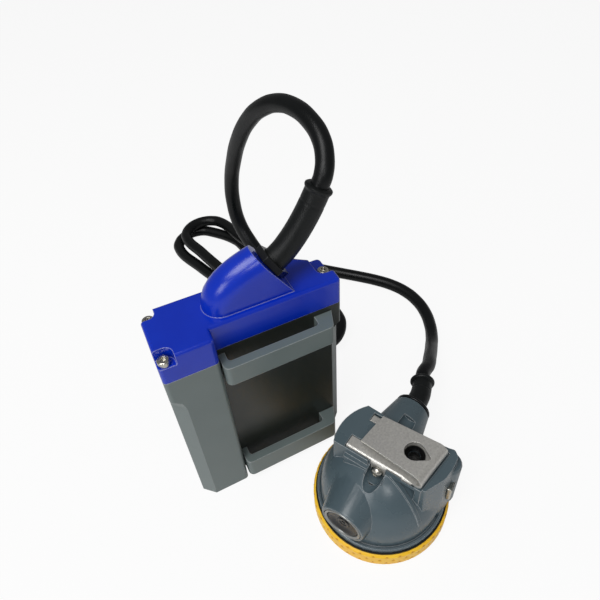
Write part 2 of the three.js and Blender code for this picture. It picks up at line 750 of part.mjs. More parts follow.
// The folded turns lie in one block with round ends.
function cordHank() {
  const half = hankHalfWidth + cordRadius;
  const run = new THREE.Vector2(hankFar[0] - hankNear[0], hankFar[1] - hankNear[1]);
  const shape = new THREE.Shape();
  shape.absarc(run.length(), 0, half, -Math.PI / 2, Math.PI / 2, false);
  shape.absarc(0, 0, half, Math.PI / 2, (3 * Math.PI) / 2, false);
  return solid(pulled(shape, 0, hankHeight, 12).rotateZ(run.angle()).translate(hankNear[0], hankNear[1], 0));
}
add(lamp, 'cord_hank', cordHank(), finishes.cord);

// ---------------------------------------------------------------- Head: bezel, lens and light unit

const bezelBore = skirtRadius + gap;
const lensRadius = skirtRadius;
const lensTop = bezelLip + lensThickness;
const skirtBottom = lensTop + lensGasketThickness;
const flangeBottom = bezelHeight + bezelGasketThickness;
const flangeTop = flangeBottom + flangeThickness;

function bezelRing() {
  const body = turned([
    [bezelOpening, 0], [bezelRadius - 1.2, 0], [bezelRadius, 1.2], [bezelRadius, bezelHeight - 1],
    [bezelRadius - 1, bezelHeight], [bezelBore, bezelHeight], [bezelBore, bezelLip], [bezelOpening, bezelLip],
  ], 2 * knurlCount);
  const dimple = new THREE.OctahedronGeometry(2 * knurlRadius).scale(knurlDepth / knurlRadius, 1, 1);
  const cutters = knurlRows.flatMap(({ z, step }) => Array.from({ length: knurlCount }, (_, i) => {
    const angle = (2 * Math.PI * (i + step + 0.25)) / knurlCount; // in the middle of a flat
    const r = bezelRadius + knurlDepth;
    return solid(dimple.clone().rotateZ(angle).translate(r * Math.cos(angle), r * Math.sin(angle), z));
  }));
  return cut(body, ...cutters);
}

add(head, 'bezel_ring', bezelRing(), finishes.yellow);
add(head, 'lens', cylinder(lensRadius, bezelLip, lensTop, 32), finishes.clear);
add(head, 'lens_gasket', ringOf(bezelOpening, lensRadius, lensTop, skirtBottom, 32), finishes.rubber);
add(head, 'bezel_gasket', ringOf(bezelBore, bezelGasketRadius, bezelHeight, flangeBottom, 48), finishes.rubber);

// A paraboloid dish that stands on the lens and narrows to the light's throat.
const dishLevel = (i, steps) => lensTop + (reflectorHeight * i) / steps;
function reflector() {
  const steps = 5;
  const radiusAt = (z) => Math.sqrt(THREE.MathUtils.lerp(
    reflectorThroat ** 2, reflectorRadius ** 2, 1 - (z - lensTop) / reflectorHeight));
  const levels = Array.from({ length: steps + 1 }, (_, i) => dishLevel(i, steps));
  const inside = levels.map((z) => [radiusAt(z), z]);
  const outside = levels.map((z) => [radiusAt(z) + reflectorWall, z]).reverse();
  const rim = bezelOpening - gap;
  const flange = [[rim, lensTop + reflectorWall], [rim, lensTop]];
  return turned([...inside, ...outside.slice(0, -1), [outside.at(-1)[0], lensTop + reflectorWall], ...flange], 24);
}
const dishTop = lensTop + reflectorHeight;
const ledTop = dishTop + ledThickness;
const sinkTop = ledTop + sinkThickness;

// The dome's quarter arc as points of [radius, height], drawn in by a wall.
const domeArc = (wall, steps) => Array.from({ length: steps + 1 }, (_, i) => {
  const a = (Math.PI / 2) * (i / steps);
  return [i === steps ? 0 : (domeRadius - wall) * Math.cos(a), flangeTop + (domeRise - wall) * Math.sin(a)];
});
const insideSides = 24;
const insideSteps = 5;

// How far out a round piece can reach inside the dome's flat faces at a height.
function roomAt(z) {
  const arc = domeArc(domeWall, insideSteps);
  const i = arc.findIndex((point) => point[1] > z);
  const [[r0, z0], [r1, z1]] = [arc[i - 1], arc[i]];
  return THREE.MathUtils.mapLinear(z, z0, z1, r0, r1) * Math.cos(Math.PI / insideSides);
}
add(head, 'reflector', reflector(), finishes.mirror);
add(head, 'led_board', join(cylinder(ledRadius, dishTop, ledTop, 24),
  cylinder(2, dishTop - 1.5, dishTop + ledThickness / 2, 12)), finishes.white);

// A disc seated at the dome's wall, with posts for the driver board.
function heatSink() {
  const rim = roomAt(sinkTop) - gap;
  const disc1 = cylinder(rim, ledTop, sinkTop, 32);
  const posts = [0, 1, 2].map((i) => {
    const angle = (2 * Math.PI * i) / 3 + 0.4;
    const [x, y] = [9 * Math.cos(angle), 9 * Math.sin(angle)];
    return solid(lathe([[0, ledTop + 1], [1.8, ledTop + 1], [1.8, sinkTop + driverStandoff],
      [0, sinkTop + driverStandoff]], 10).translate(x, y, 0));
  });
  const behindSwitch = inSwitch(lathe([
    [0, 0], [switchBodyRadius + 1, 0], [switchBodyRadius + 1, bodyFront + switchBodyLength + 1],
    [0, bodyFront + switchBodyLength + 1],
  ], 16));
  return cut(join(disc1, ...posts), switchKeep(gap), behindSwitch, glandKeep(gap));
}
add(head, 'driver_board', join(
  cylinder(driverRadius, sinkTop + driverStandoff, sinkTop + driverStandoff + driverThickness, 24),
  alongZ(rectangle(-6, -4, 2, 4), sinkTop + driverStandoff + 1, sinkTop + driverStandoff + driverThickness + 2),
), finishes.board);

// ---------------------------------------------------------------- Head: switch

// Places a piece that was built along +Z into the switch boss: depth 0 is the boss's tip.
const switchAxis = new THREE.Vector3(1, 0, 0);
const inSwitch = (geometry) => solid(aimed(geometry, new THREE.Vector3(switchTipX, bossY, switchZ), switchAxis));
const ringBack = ringThickness;
const flangeFront = ringBack + gap;
const flangeBack = flangeFront + buttonFlangeThickness;
const floorFront = flangeBack + springSpace;
const floorBack = floorFront + switchFloor;
const bodyFront = floorBack + gap;
const switchTubeRadius = ringRadius + gap + 1.4;

function switchKeep(clearance) {
  const end = bodyFront - gap + clearance;
  const r = switchTubeRadius + clearance;
  return inSwitch(lathe([[0, 0], [r, 0], [r, end], [0, end]], 32));
}

function switchBore() {
  const seat = ringBack + gap / 2;
  const wide = ringRadius + gap;
  const narrow = buttonFlange + gap;
  const hole = stemRadius + gap;
  return inSwitch(lathe([
    [0, -1], [wide, -1], [wide, seat], [narrow, seat], [narrow, floorFront], [hole, floorFront],
    [hole, floorBack + 1], [0, floorBack + 1],
  ], 32));
}

add(head, 'switch_ring', inSwitch(lathe([
  [ringBore, 0], [ringRadius - 0.5, -gap], [ringRadius, 0.2], [ringRadius, ringBack], [ringBore, ringBack],
], 28)), finishes.steel);
// A dished cap with a raised ring and nub in the middle, a flange behind the ring, and a stem.
add(head, 'switch_button', inSwitch(lathe([
  [0, 0.9], [0.8, 0.9], [1.1, buttonDish], [2.2, buttonDish], [2.5, 1.1], [3.2, 1.1], [3.5, buttonDish + 0.2],
  [6, buttonDish - 0.2], [buttonRadius, 0.5], [buttonRadius, flangeFront], [buttonFlange, flangeFront],
  [buttonFlange, flangeBack], [stemRadius, flangeBack], [stemRadius, bodyFront - buttonTravel - gap],
  [0, bodyFront - buttonTravel - gap],
], 24)), finishes.black);
class Helix extends THREE.Curve {
  getPoint(t, target = new THREE.Vector3()) {
    const angle = 2 * Math.PI * springTurns * t;
    const start = flangeBack + springWire + gap;
    const end = floorFront - springWire - gap;
    return target.set(springRadius * Math.cos(angle), springRadius * Math.sin(angle), start + (end - start) * t);
  }
}
const springShape = { steps: 12 * springTurns, bevelEnabled: false, extrudePath: new Helix(), curveSegments: 3 };
add(head, 'switch_spring',
  inSwitch(new THREE.ExtrudeGeometry(disc(0, 0, springWire), springShape)), finishes.steel);
add(head, 'switch_body', inSwitch(lathe([
  [0, bodyFront], [switchBodyRadius, bodyFront], [switchBodyRadius, bodyFront + switchBodyLength],
  [0, bodyFront + switchBodyLength],
], 16)), finishes.black);

// ---------------------------------------------------------------- Head: clip

const clipSide = (side) => (side < 0 ? clipLeft : clipRight);
const foldRadius = clipRise / 2;
const foldMiddle = clipFoldY + foldRadius;
const foldLeg = 6; // how far the fold's lower leg lies in the base
const tabRoot = 8.6;

// A teardrop window: a round end and a small one, joined by lines that touch both.
function keyholeShape() {
  const { x, y, radius, tipX, tipY, tipRadius } = keyhole;
  const lean = new THREE.Vector2(tipX - x, tipY - y);
  const spread = Math.acos((radius - tipRadius) / lean.length());
  const aim = lean.angle();
  const shape = new THREE.Shape();
  shape.absarc(x, y, radius, aim + spread, aim - spread + 2 * Math.PI, false);
  shape.absarc(tipX, tipY, tipRadius, aim - spread, aim + spread, false);
  return shape;
}

function clipBody() {
  const z0 = clipSeat;
  const z1 = clipSeat + clipRise;
  const tip = clipSeat + tipRise;
  const t = clipSheet;
  const bend = new THREE.Shape(); // the sheet's edge, seen from the side
  bend.moveTo(foldMiddle + foldLeg, z0);
  bend.lineTo(foldMiddle + foldLeg, z0 + t);
  bend.lineTo(foldMiddle, z0 + t);
  bend.absarc(foldMiddle, z0 + foldRadius, foldRadius - t, (3 * Math.PI) / 2, Math.PI / 2, true);
  bend.lineTo(clipTipY, tip - t);
  bend.lineTo(clipTipY, tip);
  bend.lineTo(foldMiddle, z1);
  bend.absarc(foldMiddle, z0 + foldRadius, foldRadius, Math.PI / 2, (3 * Math.PI) / 2, false);
  const sides = alongZ(outline([...tongueFront, ...tongueRear]), z0 - 1, z1 + 1);
  const tongue = alongX(bend, -reach / 4, reach / 4, 12).rotate([0, 0, foldTurn]).intersect(sides);
  const [xa, xb] = [clipLeft, clipRight];
  const r = clipRollRadius;
  const base = alongY(outline([ // the base plate with its sides rolled down, seen from the end
    [xa, z0 + t - clipSkirt], [xa + t, z0 + t - clipSkirt], [xa + t, z0, r - t], [xb - t, z0, r - t],
    [xb - t, z0 + t - clipSkirt], [xb, z0 + t - clipSkirt], [xb, z0 + t, r], [xa, z0 + t, r],
  ]), foldMiddle + r, frontTab.end, 5);
  const lug = (x) => alongX(outline([
    [clipScrewY - clipLugRadius, clipScrewZ - clipLugRadius, clipLugRadius - 0.1],
    [clipScrewY + clipLugRadius, clipScrewZ - clipLugRadius, clipLugRadius - 0.1],
    [clipScrewY + clipLugRadius, z0 + t - r], [clipScrewY - clipLugRadius, z0 + t - r],
  ]), x, x + t, 8);
  const past = frontTab.end + 5;
  const between = alongZ(rectangle(xa + frontTab.width, tabRoot, xb - rearTab.width, past), z0 - clipRise, z1);
  const beyondRear = alongZ(rectangle(xb - 2 * rearTab.width, rearTab.end, xb + 1, past), z0 - clipRise, z1);
  const screwHole = alongX(disc(clipScrewY, clipScrewZ, clipScrewShank + gap), xa - 1, xb + 1, 12);
  const window = alongZ(keyholeShape(), z0 + foldRadius, z1 + 1, 10);
  const low = alongZ(disc(baseHole.x, baseHole.y, baseHole.radius), z0 - 1, z0 + foldRadius, 16);
  return join(tongue, cut(base, between, beyondRear), cut(join(lug(xa), lug(xb - t)), screwHole))
    .subtract(join(window, low));
}

// A screw with a domed head, driven in from one side of the clip.
function clipScrew(side) {
  const profile = [[0, -clipScrewDepth], [clipScrewShank, -clipScrewDepth], [clipScrewShank, 0], [clipScrewHead, 0]];
  const steps = 4;
  for (let i = 1; i <= steps; i += 1) {
    const a = (Math.PI / 2) * (i / steps);
    profile.push([i === steps ? 0 : clipScrewHead * Math.cos(a), 0.5 + (clipScrewDome - 0.5) * Math.sin(a)]);
  }
  const socket = new THREE.CylinderGeometry(1.1, 1.1, 2.4, 6).rotateX(Math.PI / 2).translate(0, 0, clipScrewDome);
  const body = geometryOf(cut(turned(profile, 14), solid(socket)));
  const spot = new THREE.Vector3(clipSide(side) + side * gap, clipScrewY, clipScrewZ);
  return solid(aimed(body, spot, new THREE.Vector3(side, 0, 0)));
}

add(head, 'helmet_clip', clipBody(), finishes.steel);
add(head, 'clip_screw_front', clipScrew(-1), finishes.steel);
add(head, 'clip_screw_rear', clipScrew(1), finishes.steel);

// ---------------------------------------------------------------- Head: shell

function glandKeep(clearance) {
  const r = glandPassage + 2.4 + clearance;
  return solid(aimed(lathe([[0, 20 - clearance], [r, 20 - clearance], [r, glandTipX], [0, glandTipX]], 24),
    new THREE.Vector3(0, bossY, glandZ), new THREE.Vector3(1, 0, 0)));
}

function cone(tipX, tipRadius, rootX, rootRadius, z) {
  const direction = new THREE.Vector3(Math.sign(tipX), 0, 0);
  const length = Math.abs(tipX - rootX);
  const profile = [[0, 0], [rootRadius, 0], [tipRadius + 0.25, length - 0.8], [tipRadius - 0.5, length], [0, length]];
  return solid(aimed(lathe(profile, 30), new THREE.Vector3(rootX, bossY, z), direction));
}

// The flat wing on the clip's tip side: an arc between two corners, with upright walls down to the dome.
function wingPlan() {
  const [from, to] = wingArc.map((degrees) => THREE.MathUtils.degToRad(degrees));
  const shape = new THREE.Shape();
  shape.moveTo(wingFront, clipLugRadius);
  shape.lineTo(wingRear, clipLugRadius);
  shape.absarc(0, 0, wingRadius, from, to, false);
  shape.closePath();
  return shape;
}

// The other wing: a half moon beside the clip's fold, on a pillar that spreads towards its foot.
function pillar() {
  const geometry = pulled(outline(halfMoon), pillarFoot, wingTop, 6);
  const place = geometry.getAttribute('position');
  for (let i = 0; i < place.count; i += 1) {
    const drop = (wingTop - place.getZ(i)) / wingTop;
    place.setY(i, place.getY(i) - drop * pillarSpread);
  }
  const { x, y, radius, top } = lobe;
  const round = lathe([[0, pillarFoot], [radius, pillarFoot], [radius, top - 2], [radius - 0.7, top - 0.6],
    [radius - 2, top], [0, top]], 20);
  return join(solid(geometry), solid(round.translate(x, y, 0)));
}

// A thin rib that runs down the dome from the front screw to the pillar's foot.
function domeRib() {
  const start = new THREE.Vector2(...ribStart);
  const run = new THREE.Vector2(...ribEnd).sub(start);
  const steps = 6;
  const edge = Array.from({ length: steps + 1 }, (_, i) => {
    const spot = start.clone().addScaledVector(run, i / steps);
    const over = Math.sqrt(1 - (spot.length() / domeRadius) ** 2);
    return [(run.length() * i) / steps, flangeTop + domeRise * over + ribProud];
  });
  const shape = outline([...edge, [run.length(), flangeTop], [0, flangeTop]]);
  return alongX(shape, -ribThickness / 2, ribThickness / 2)
    .rotate([0, 0, THREE.MathUtils.radToDeg(run.angle()) - 90]).translate([start.x, start.y, 0]);
}

function headShell() {
  const groove = domeRadius - 0.6;
  const domeOutside = turned([
    [0, skirtBottom], [skirtRadius, skirtBottom], [skirtRadius, flangeBottom], [flangeRadius, flangeBottom],
    [flangeRadius, flangeTop - 0.4], [flangeRadius - 0.4, flangeTop], [groove + flangeGroove, flangeTop],
    [groove + flangeGroove, flangeTop - 1.3], [groove, flangeTop - 1.3], ...domeArc(0, 10).slice(1),
  ], 48);
  const inside = turned([[0, skirtBottom - 1], [domeRadius - domeWall, skirtBottom - 1], ...domeArc(domeWall, insideSteps)], insideSides);
  const hollow = cut(inside, switchKeep(0), glandKeep(0));
  const above = alongZ(rectangle(-reach, -reach, reach, reach), flangeTop - 0.8, reach);
  const bosses = join(
    cone(switchTipX, switchTipRadius, switchRootX, switchRootRadius, switchZ),
    cone(glandTipX, glandTipRadius, glandRootX, glandRootRadius, glandZ),
  ).intersect(above);
  const bridge = alongZ(rectangle(wingFront + 0.8, clipFoldY + 1, wingRear, clipLugRadius + 1), wingFoot - 4, wingTop);
  const ledgeLip = alongZ(rectangle(lip.left, lip.near, lip.right, lip.far, 1), wingFoot, lip.top, 4);
  const wing = alongZ(wingPlan(), wingFoot, wingTop, 10);
  const wings = cut(join(bridge, wing, ledgeLip, pillar().intersect(above)), pocket()).add(domeRib());
  const outside = join(domeOutside, bosses, wings);
  const passage = solid(aimed(
    lathe([[0, 18], [glandPassage, 18], [glandPassage, glandTipX + 1], [0, glandTipX + 1]], 20),
    new THREE.Vector3(0, bossY, glandZ), new THREE.Vector3(1, 0, 0)));
  return cut(outside, hollow, switchBore(), passage, ...clipCuts(), ...contactSlots(gap));
}

// Room for the clip's base, its rolled sides, its lugs and its screws.
function clipCuts() {
  const [xa, xb] = [clipLeft - gap, clipRight + gap];
  const low = clipSeat + clipSheet - clipSkirt - gap;
  const open = wingTop + 1;
  const seat = alongZ(rectangle(xa, foldMiddle, xb, tabRoot + gap), clipSeat, open);
  const foldSeat = alongZ(rectangle(-reach, clipFoldY - gap, reach, foldMiddle + foldLeg), clipSeat, open)
    .rotate([0, 0, foldTurn]).intersect(alongZ(rectangle(xa - gap, -reach, xb, 0), clipSeat, open));
  const tabs = [
    alongZ(rectangle(xa, 0, xa + frontTab.width + 2 * gap, frontTab.end + gap), clipSeat, open),
    alongZ(rectangle(xb - rearTab.width - 2 * gap, 0, xb, rearTab.end + gap), clipSeat, open),
  ];
  const rollWidth = clipRollRadius + 2 * gap;
  const rolls = [
    alongZ(rectangle(xa, foldMiddle, xa + rollWidth, frontTab.end + gap), low, open),
    alongZ(rectangle(xb - rollWidth, foldMiddle, xb, rearTab.end + gap), low, open),
  ];
  const lugReach = clipLugRadius + gap;
  const away = 12; // the lugs' room runs out past the screw heads
  const lugs = [[xa - away, xa + clipSheet + 2 * gap], [xb - clipSheet - 2 * gap, xb + away]].map(([a, b]) =>
    alongX(outline([
      [clipScrewY - lugReach, clipScrewZ - lugReach, lugReach - 0.1],
      [clipScrewY + lugReach, clipScrewZ - lugReach, lugReach - 0.1],
      [clipScrewY + lugReach, open], [clipScrewY - lugReach, open],
    ]), a, b, 8));
  const shanks = [-1, 1].map((side) => {
    const x = clipSide(side);
    const deep = x - side * (clipScrewDepth + gap);
    return alongX(disc(clipScrewY, clipScrewZ, clipScrewShank + gap), Math.min(x, deep), Math.max(x, deep), 12);
  });
  return [seat, foldSeat, ...tabs, ...rolls, ...lugs, ...shanks];
}

// The three-cornered pocket between the rib and the pillar.
const pocket = () => alongX(outline(pocketSide), wingFront - 2 * pocketDepth, wingFront + pocketDepth, 4);

// The charging contacts stand in slots in the wings' outer sides: place, turn and which way out.
const contactTurns = [6, 190];
const contactPlaces = [contactLeft, contactRight];
function contactBlock(i, grow) {
  const [x, y, z] = contactPlaces[i];
  const half = contactHalfWidth + grow;
  const shape = rectangle(-half, -1.2 - grow, half, 1.6 + grow, 0.8);
  const geometry = pulled(shape, z - grow, z + contactHeight + grow, 4);
  return solid(geometry.rotateZ(THREE.MathUtils.degToRad(contactTurns[i])).translate(x, y, 0));
}
const contactSlots = (grow) => contactPlaces.map((_, i) => contactBlock(i, grow));

add(head, 'heat_sink', heatSink(), finishes.aluminium);
add(head, 'head_shell', headShell(), finishes.grey);
['left', 'right'].forEach((side, i) => add(head, `charge_contact_${side}`, contactBlock(i, 0), finishes.steel));

// ---------------------------------------------------------------- Head: nut and sleeve

const nutFace = glandTipX + gap;
const onGland = (geometry) => solid(aimed(geometry, new THREE.Vector3(nutFace, bossY, glandZ), new THREE.Vector3(1, 0, 0)));
add(head, 'head_gland_nut', onGland(lathe([
  [headSleeveRadius + gap, 0], [headNutRadius, 0], [headNutRadius, headNutThickness - 0.8],
  [headNutRadius - 0.8, headNutThickness], [headSleeveRadius + gap, headNutThickness],
], 24)), finishes.black);

const headSleeveBend = [[0, 0, 0], [5, 0, 0], [11, 0.5, -0.2], [17, 2.2, -0.7], [21.7, 4.2, -1]];
const headSleevePath = new THREE.CatmullRomCurve3(
  headSleeveBend.map(([x, y, z]) => new THREE.Vector3(nutFace + x, bossY + y, glandZ + z)));
add(head, 'head_strain_relief',
  sleeve(headSleevePath, headSleeveRadius, headSleeveRadius - 0.4, headCollarRadius, new THREE.Vector3(0, 1, 0)),
  finishes.rubber);

// From the hank out over the floor and up to the head's sleeve.
head.updateMatrix();
const fromHead = (distance) => beyond(headSleevePath, distance).applyMatrix4(head.matrix);
const leadPath = new THREE.CatmullRomCurve3([...points([
  [75.5, 139.3, 4.5], [82, 132.4, 4.5], [90, 124.2, 4.5], [100, 114.2, 4.5], [110, 104.3, 4.5], [119, 95.4, 4.5],
  [128, 85.8, 4.5], [136, 75, 4.5], [141, 64, 4.5], [143, 52, 4.5], [141.7, 39, 4.5], [137, 26, 4.7],
  [130.6, 15.4, 6], [124, 7.4, 9.2], [117.4, 0, 14.2], [110.8, -7, 19.8], [103.6, -14.4, 24.8],
]), fromHead(6), fromHead(gap)]);
add(lamp, 'cord_lead', tube(leadPath, cordRadius, 18, cordSides), finishes.cord);

export default lamp;
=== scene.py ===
# %% [markdown]
# # A corded cap lamp
# The lamp has three parts: a slim battery box that hangs on a belt, a cord, and a domed lamp head that clips
# to a helmet. The solids come from the CAD frame and are the truth about size and place. This script gives
# each of them its real surface, and remakes the pieces whose faces are too coarse to look at closely.

import json
import math

import bmesh
import bpy
from mathutils import Matrix, Vector


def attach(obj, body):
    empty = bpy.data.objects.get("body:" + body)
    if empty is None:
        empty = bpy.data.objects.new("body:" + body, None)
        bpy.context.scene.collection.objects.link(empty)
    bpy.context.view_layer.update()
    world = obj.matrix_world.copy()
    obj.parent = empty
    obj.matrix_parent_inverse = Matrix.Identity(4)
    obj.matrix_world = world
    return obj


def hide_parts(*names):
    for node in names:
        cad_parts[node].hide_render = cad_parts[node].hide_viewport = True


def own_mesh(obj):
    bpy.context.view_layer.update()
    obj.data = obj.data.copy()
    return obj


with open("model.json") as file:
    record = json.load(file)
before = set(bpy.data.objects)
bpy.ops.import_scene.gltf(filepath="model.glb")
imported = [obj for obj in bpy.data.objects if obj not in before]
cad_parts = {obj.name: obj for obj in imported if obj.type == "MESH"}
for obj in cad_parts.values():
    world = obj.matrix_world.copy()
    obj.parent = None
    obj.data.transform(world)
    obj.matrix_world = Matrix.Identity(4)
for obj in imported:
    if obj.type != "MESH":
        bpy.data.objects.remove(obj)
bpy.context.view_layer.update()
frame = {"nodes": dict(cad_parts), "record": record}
MM = 0.001
scene = bpy.context.scene
slots = {part["node"]: part["material_slot"] for part in frame["record"]["subparts"]}
body_nodes = frame["record"]["behaviour"]["bodies"]
print("nodes:", len(frame["nodes"]), "bodies:", sorted(body_nodes))

# %% [markdown]
# ## Camera
# The lamp is looked at from the front, a little from the left and from well above, so that the box's top,
# its front and the head's clip all show. The lens is a short one, held close: it makes the far cord smaller
# than the near head. The camera comes first, because the cord has to stay inside its view.

# %% The camera
CAMERA_PLACE = Vector((-42.908, -167.536, 289.827)) * MM
CAMERA_TURN = Vector((0.80412, -0.19633, -0.47237))  # an axis, as long as the angle in radians
camera = bpy.data.objects.new("camera", bpy.data.cameras.new("camera"))
scene.collection.objects.link(camera)
camera.data.sensor_width = 36
camera.data.lens = 31.709
camera.data.shift_x = -0.0596
camera.data.shift_y = -0.0348
camera.data.clip_start = 0.01
camera.data.clip_end = 20
turn = Matrix.Rotation(CAMERA_TURN.length, 4, CAMERA_TURN.normalized())
camera.matrix_world = Matrix.Translation(CAMERA_PLACE) @ turn
scene.camera = camera
print("camera at", [round(v, 3) for v in camera.matrix_world.translation])

# %% [markdown]
# ## Helpers for shapes
# Lengths below are in millimetres and become metres where they meet Blender. Real moulded and pressed parts
# have no knife edges: each edge is a small round that catches a thin line of light. The edges could be cut
# round by hand in the mesh, but a Bevel modifier does it evenly and can be changed later. The solid's own
# mesh is never changed. What is shown is a copy whose doubled corners are merged and whose flat faces are
# joined up again, because a bevel only works where faces share their edges. A round piece is turned from
# half of its outline.


# %% Making, softening and seating a piece
FACE_WEIGHT = 80  # how far the large faces keep their own direction beside the rounded edges


def from_bmesh(name, bm):
    """A new object from a bmesh, with its faces turned outwards."""
    bmesh.ops.recalc_face_normals(bm, faces=bm.faces)
    mesh = bpy.data.meshes.new(name)
    bm.to_mesh(mesh)
    bm.free()
    piece = bpy.data.objects.new(name, mesh)
    scene.collection.objects.link(piece)
    return piece


def soften(piece, width=0.0, corner=30, segments=3):
    """Smooths a piece between its sharp edges and, where it has a width, rounds those by a modifier."""
    piece.data.shade_smooth()
    piece.data.set_sharp_from_angle(angle=math.radians(corner))
    if width:
        edges = piece.modifiers.new("edges", "BEVEL")
        edges.width = width * MM
        edges.segments = segments
        edges.limit_method = "ANGLE"
        edges.angle_limit = math.radians(corner)
        faces = piece.modifiers.new("flat faces", "WEIGHTED_NORMAL")
        faces.keep_sharp = True
        faces.weight = FACE_WEIGHT
    return piece


def seat(piece, *nodes):
    """Lets a piece stand for CAD nodes: it moves with their body, and the nodes are hidden."""
    body = next(name for name, names in body_nodes.items() if nodes[0] in names)
    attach(piece, body)
    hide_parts(*nodes)
    return piece


# %% A refined copy, and a piece turned from its outline
WELD = 0.03 * MM
FLAT = math.radians(0.6)


def refined(node, width, corner, segments, joined):
    """A copy of a CAD node with rounded edges, in the node's place; joined makes one face of flat ones."""
    bm = bmesh.new()
    bm.from_mesh(frame["nodes"][node].data)
    bmesh.ops.remove_doubles(bm, verts=bm.verts, dist=WELD)
    bmesh.ops.dissolve_degenerate(bm, edges=bm.edges, dist=WELD)
    if joined:
        bmesh.ops.dissolve_limit(bm, angle_limit=FLAT, verts=bm.verts, edges=bm.edges)
    return seat(soften(from_bmesh(node + "_look", bm), width, corner, segments), node)


def spun(name, profile, place, axis, segments):
    """Turns a profile of (radius, height) about an axis that starts at a place."""
    bm = bmesh.new()
    points = [bm.verts.new((r * MM, 0, z * MM)) for r, z in profile]
    edges = [bm.edges.new(pair) for pair in zip(points, points[1:])]
    bmesh.ops.spin(bm, geom=points + edges, cent=(0, 0, 0), axis=(0, 0, 1), angle=2 * math.pi,
                   steps=segments, use_merge=True)
    bmesh.ops.remove_doubles(bm, verts=bm.verts, dist=1e-7)
    aim = Vector((0, 0, 1)).rotation_difference(Vector(axis)).to_matrix().to_4x4()
    bmesh.ops.transform(bm, matrix=Matrix.Translation(Vector(place) * MM) @ aim, verts=bm.verts)
    return from_bmesh(name, bm)


# %% [markdown]
# ## Helpers for finishes
# No real plastic, rubber or steel is one flat colour: it has a fine grain, and handling makes some patches
# shine more than others. Painted image textures could show that, but they need unwrapped pieces. Here every
# finish is worked out from noise on the piece's own coordinates, so it moves with the piece and never
# repeats. The grain and the mottling are used by all the lamp's materials, so each is a node group. A group
# also gives a normal that runs smoothly over nearby edges, and a mask of those edges, where a painted
# highlight brightens a moulding.


# %% Node groups for grain and mottling
BUMP_DEPTH = 0.0002
EDGE_SAMPLES = 6
# Where the painted highlight on the rounded edges starts and where it is full.
PAINTED_HIGHLIGHT_STARTS, PAINTED_HIGHLIGHT_FULL = 0.995, 0.85  # cosines between the face and the rounded normal


def add_socket(group, name, kind, direction, value=None):
    """One socket on a node group."""
    socket = group.interface.new_socket(name=name, in_out=direction, socket_type=kind)
    if value is not None:
        socket.default_value = value
    return socket


def effect_group(name, detail, low, high):
    """A node group that gives a noise mask, a bumpy normal and a mask of the edges for a painted highlight."""
    group = bpy.data.node_groups.new(name, "ShaderNodeTree")
    add_socket(group, "Scale", "NodeSocketFloat", "INPUT", 100.0)
    add_socket(group, "Height", "NodeSocketFloat", "INPUT", 0.1)
    add_socket(group, "Edge", "NodeSocketFloat", "INPUT", 0.0005)
    add_socket(group, "Mask", "NodeSocketFloat", "OUTPUT")
    add_socket(group, "Normal", "NodeSocketVector", "OUTPUT")
    add_socket(group, "Painted highlight", "NodeSocketFloat", "OUTPUT")
    nodes, links = group.nodes, group.links
    into, out = nodes.new("NodeGroupInput"), nodes.new("NodeGroupOutput")
    place = nodes.new("ShaderNodeTexCoord")
    noise = nodes.new("ShaderNodeTexNoise")
    noise.inputs["Detail"].default_value = detail
    levels = nodes.new("ShaderNodeMapRange")
    levels.inputs["From Min"].default_value = low
    levels.inputs["From Max"].default_value = high
    edge = nodes.new("ShaderNodeBevel")
    edge.samples = EDGE_SAMPLES
    bump = nodes.new("ShaderNodeBump")
    bump.inputs["Distance"].default_value = BUMP_DEPTH
    links.new(place.outputs["Object"], noise.inputs["Vector"])
    links.new(into.outputs["Scale"], noise.inputs["Scale"])
    links.new(noise.outputs["Fac"], levels.inputs["Value"])
    links.new(levels.outputs["Result"], out.inputs["Mask"])
    links.new(levels.outputs["Result"], bump.inputs["Height"])
    links.new(into.outputs["Height"], bump.inputs["Strength"])
    links.new(into.outputs["Edge"], edge.inputs["Radius"])
    links.new(edge.outputs["Normal"], bump.inputs["Normal"])
    links.new(bump.outputs["Normal"], out.inputs["Normal"])
    # The edge mask for the painted highlight: where the rounded normal turns away from the face's own.
    flat = nodes.new("ShaderNodeNewGeometry")
    turned = nodes.new("ShaderNodeVectorMath")
    turned.operation = "DOT_PRODUCT"
    painted_highlight = nodes.new("ShaderNodeMapRange")
    painted_highlight.inputs["From Min"].default_value = PAINTED_HIGHLIGHT_STARTS
    painted_highlight.inputs["From Max"].default_value = PAINTED_HIGHLIGHT_FULL
    links.new(flat.outputs["Normal"], turned.inputs[0])
    links.new(edge.outputs["Normal"], turned.inputs[1])
    links.new(turned.outputs["Value"], painted_highlight.inputs["Value"])
    links.new(painted_highlight.outputs["Result"], out.inputs["Painted highlight"])
    return group


grain_group = effect_group("grain", 3, 0.35, 0.65)
mottle_group = effect_group("mottle", 6, 0.3, 0.75)
print("node groups:", [g.name for g in bpy.data.node_groups])


# %% A finish built from the groups
def colour(r, g, b):
    """A colour written as 0 to 255 values, as linear light."""
    return tuple(((v / 255 + 0.055) / 1.055) ** 2.4 if v > 10 else v / 3294.6 for v in (r, g, b)) + (1,)


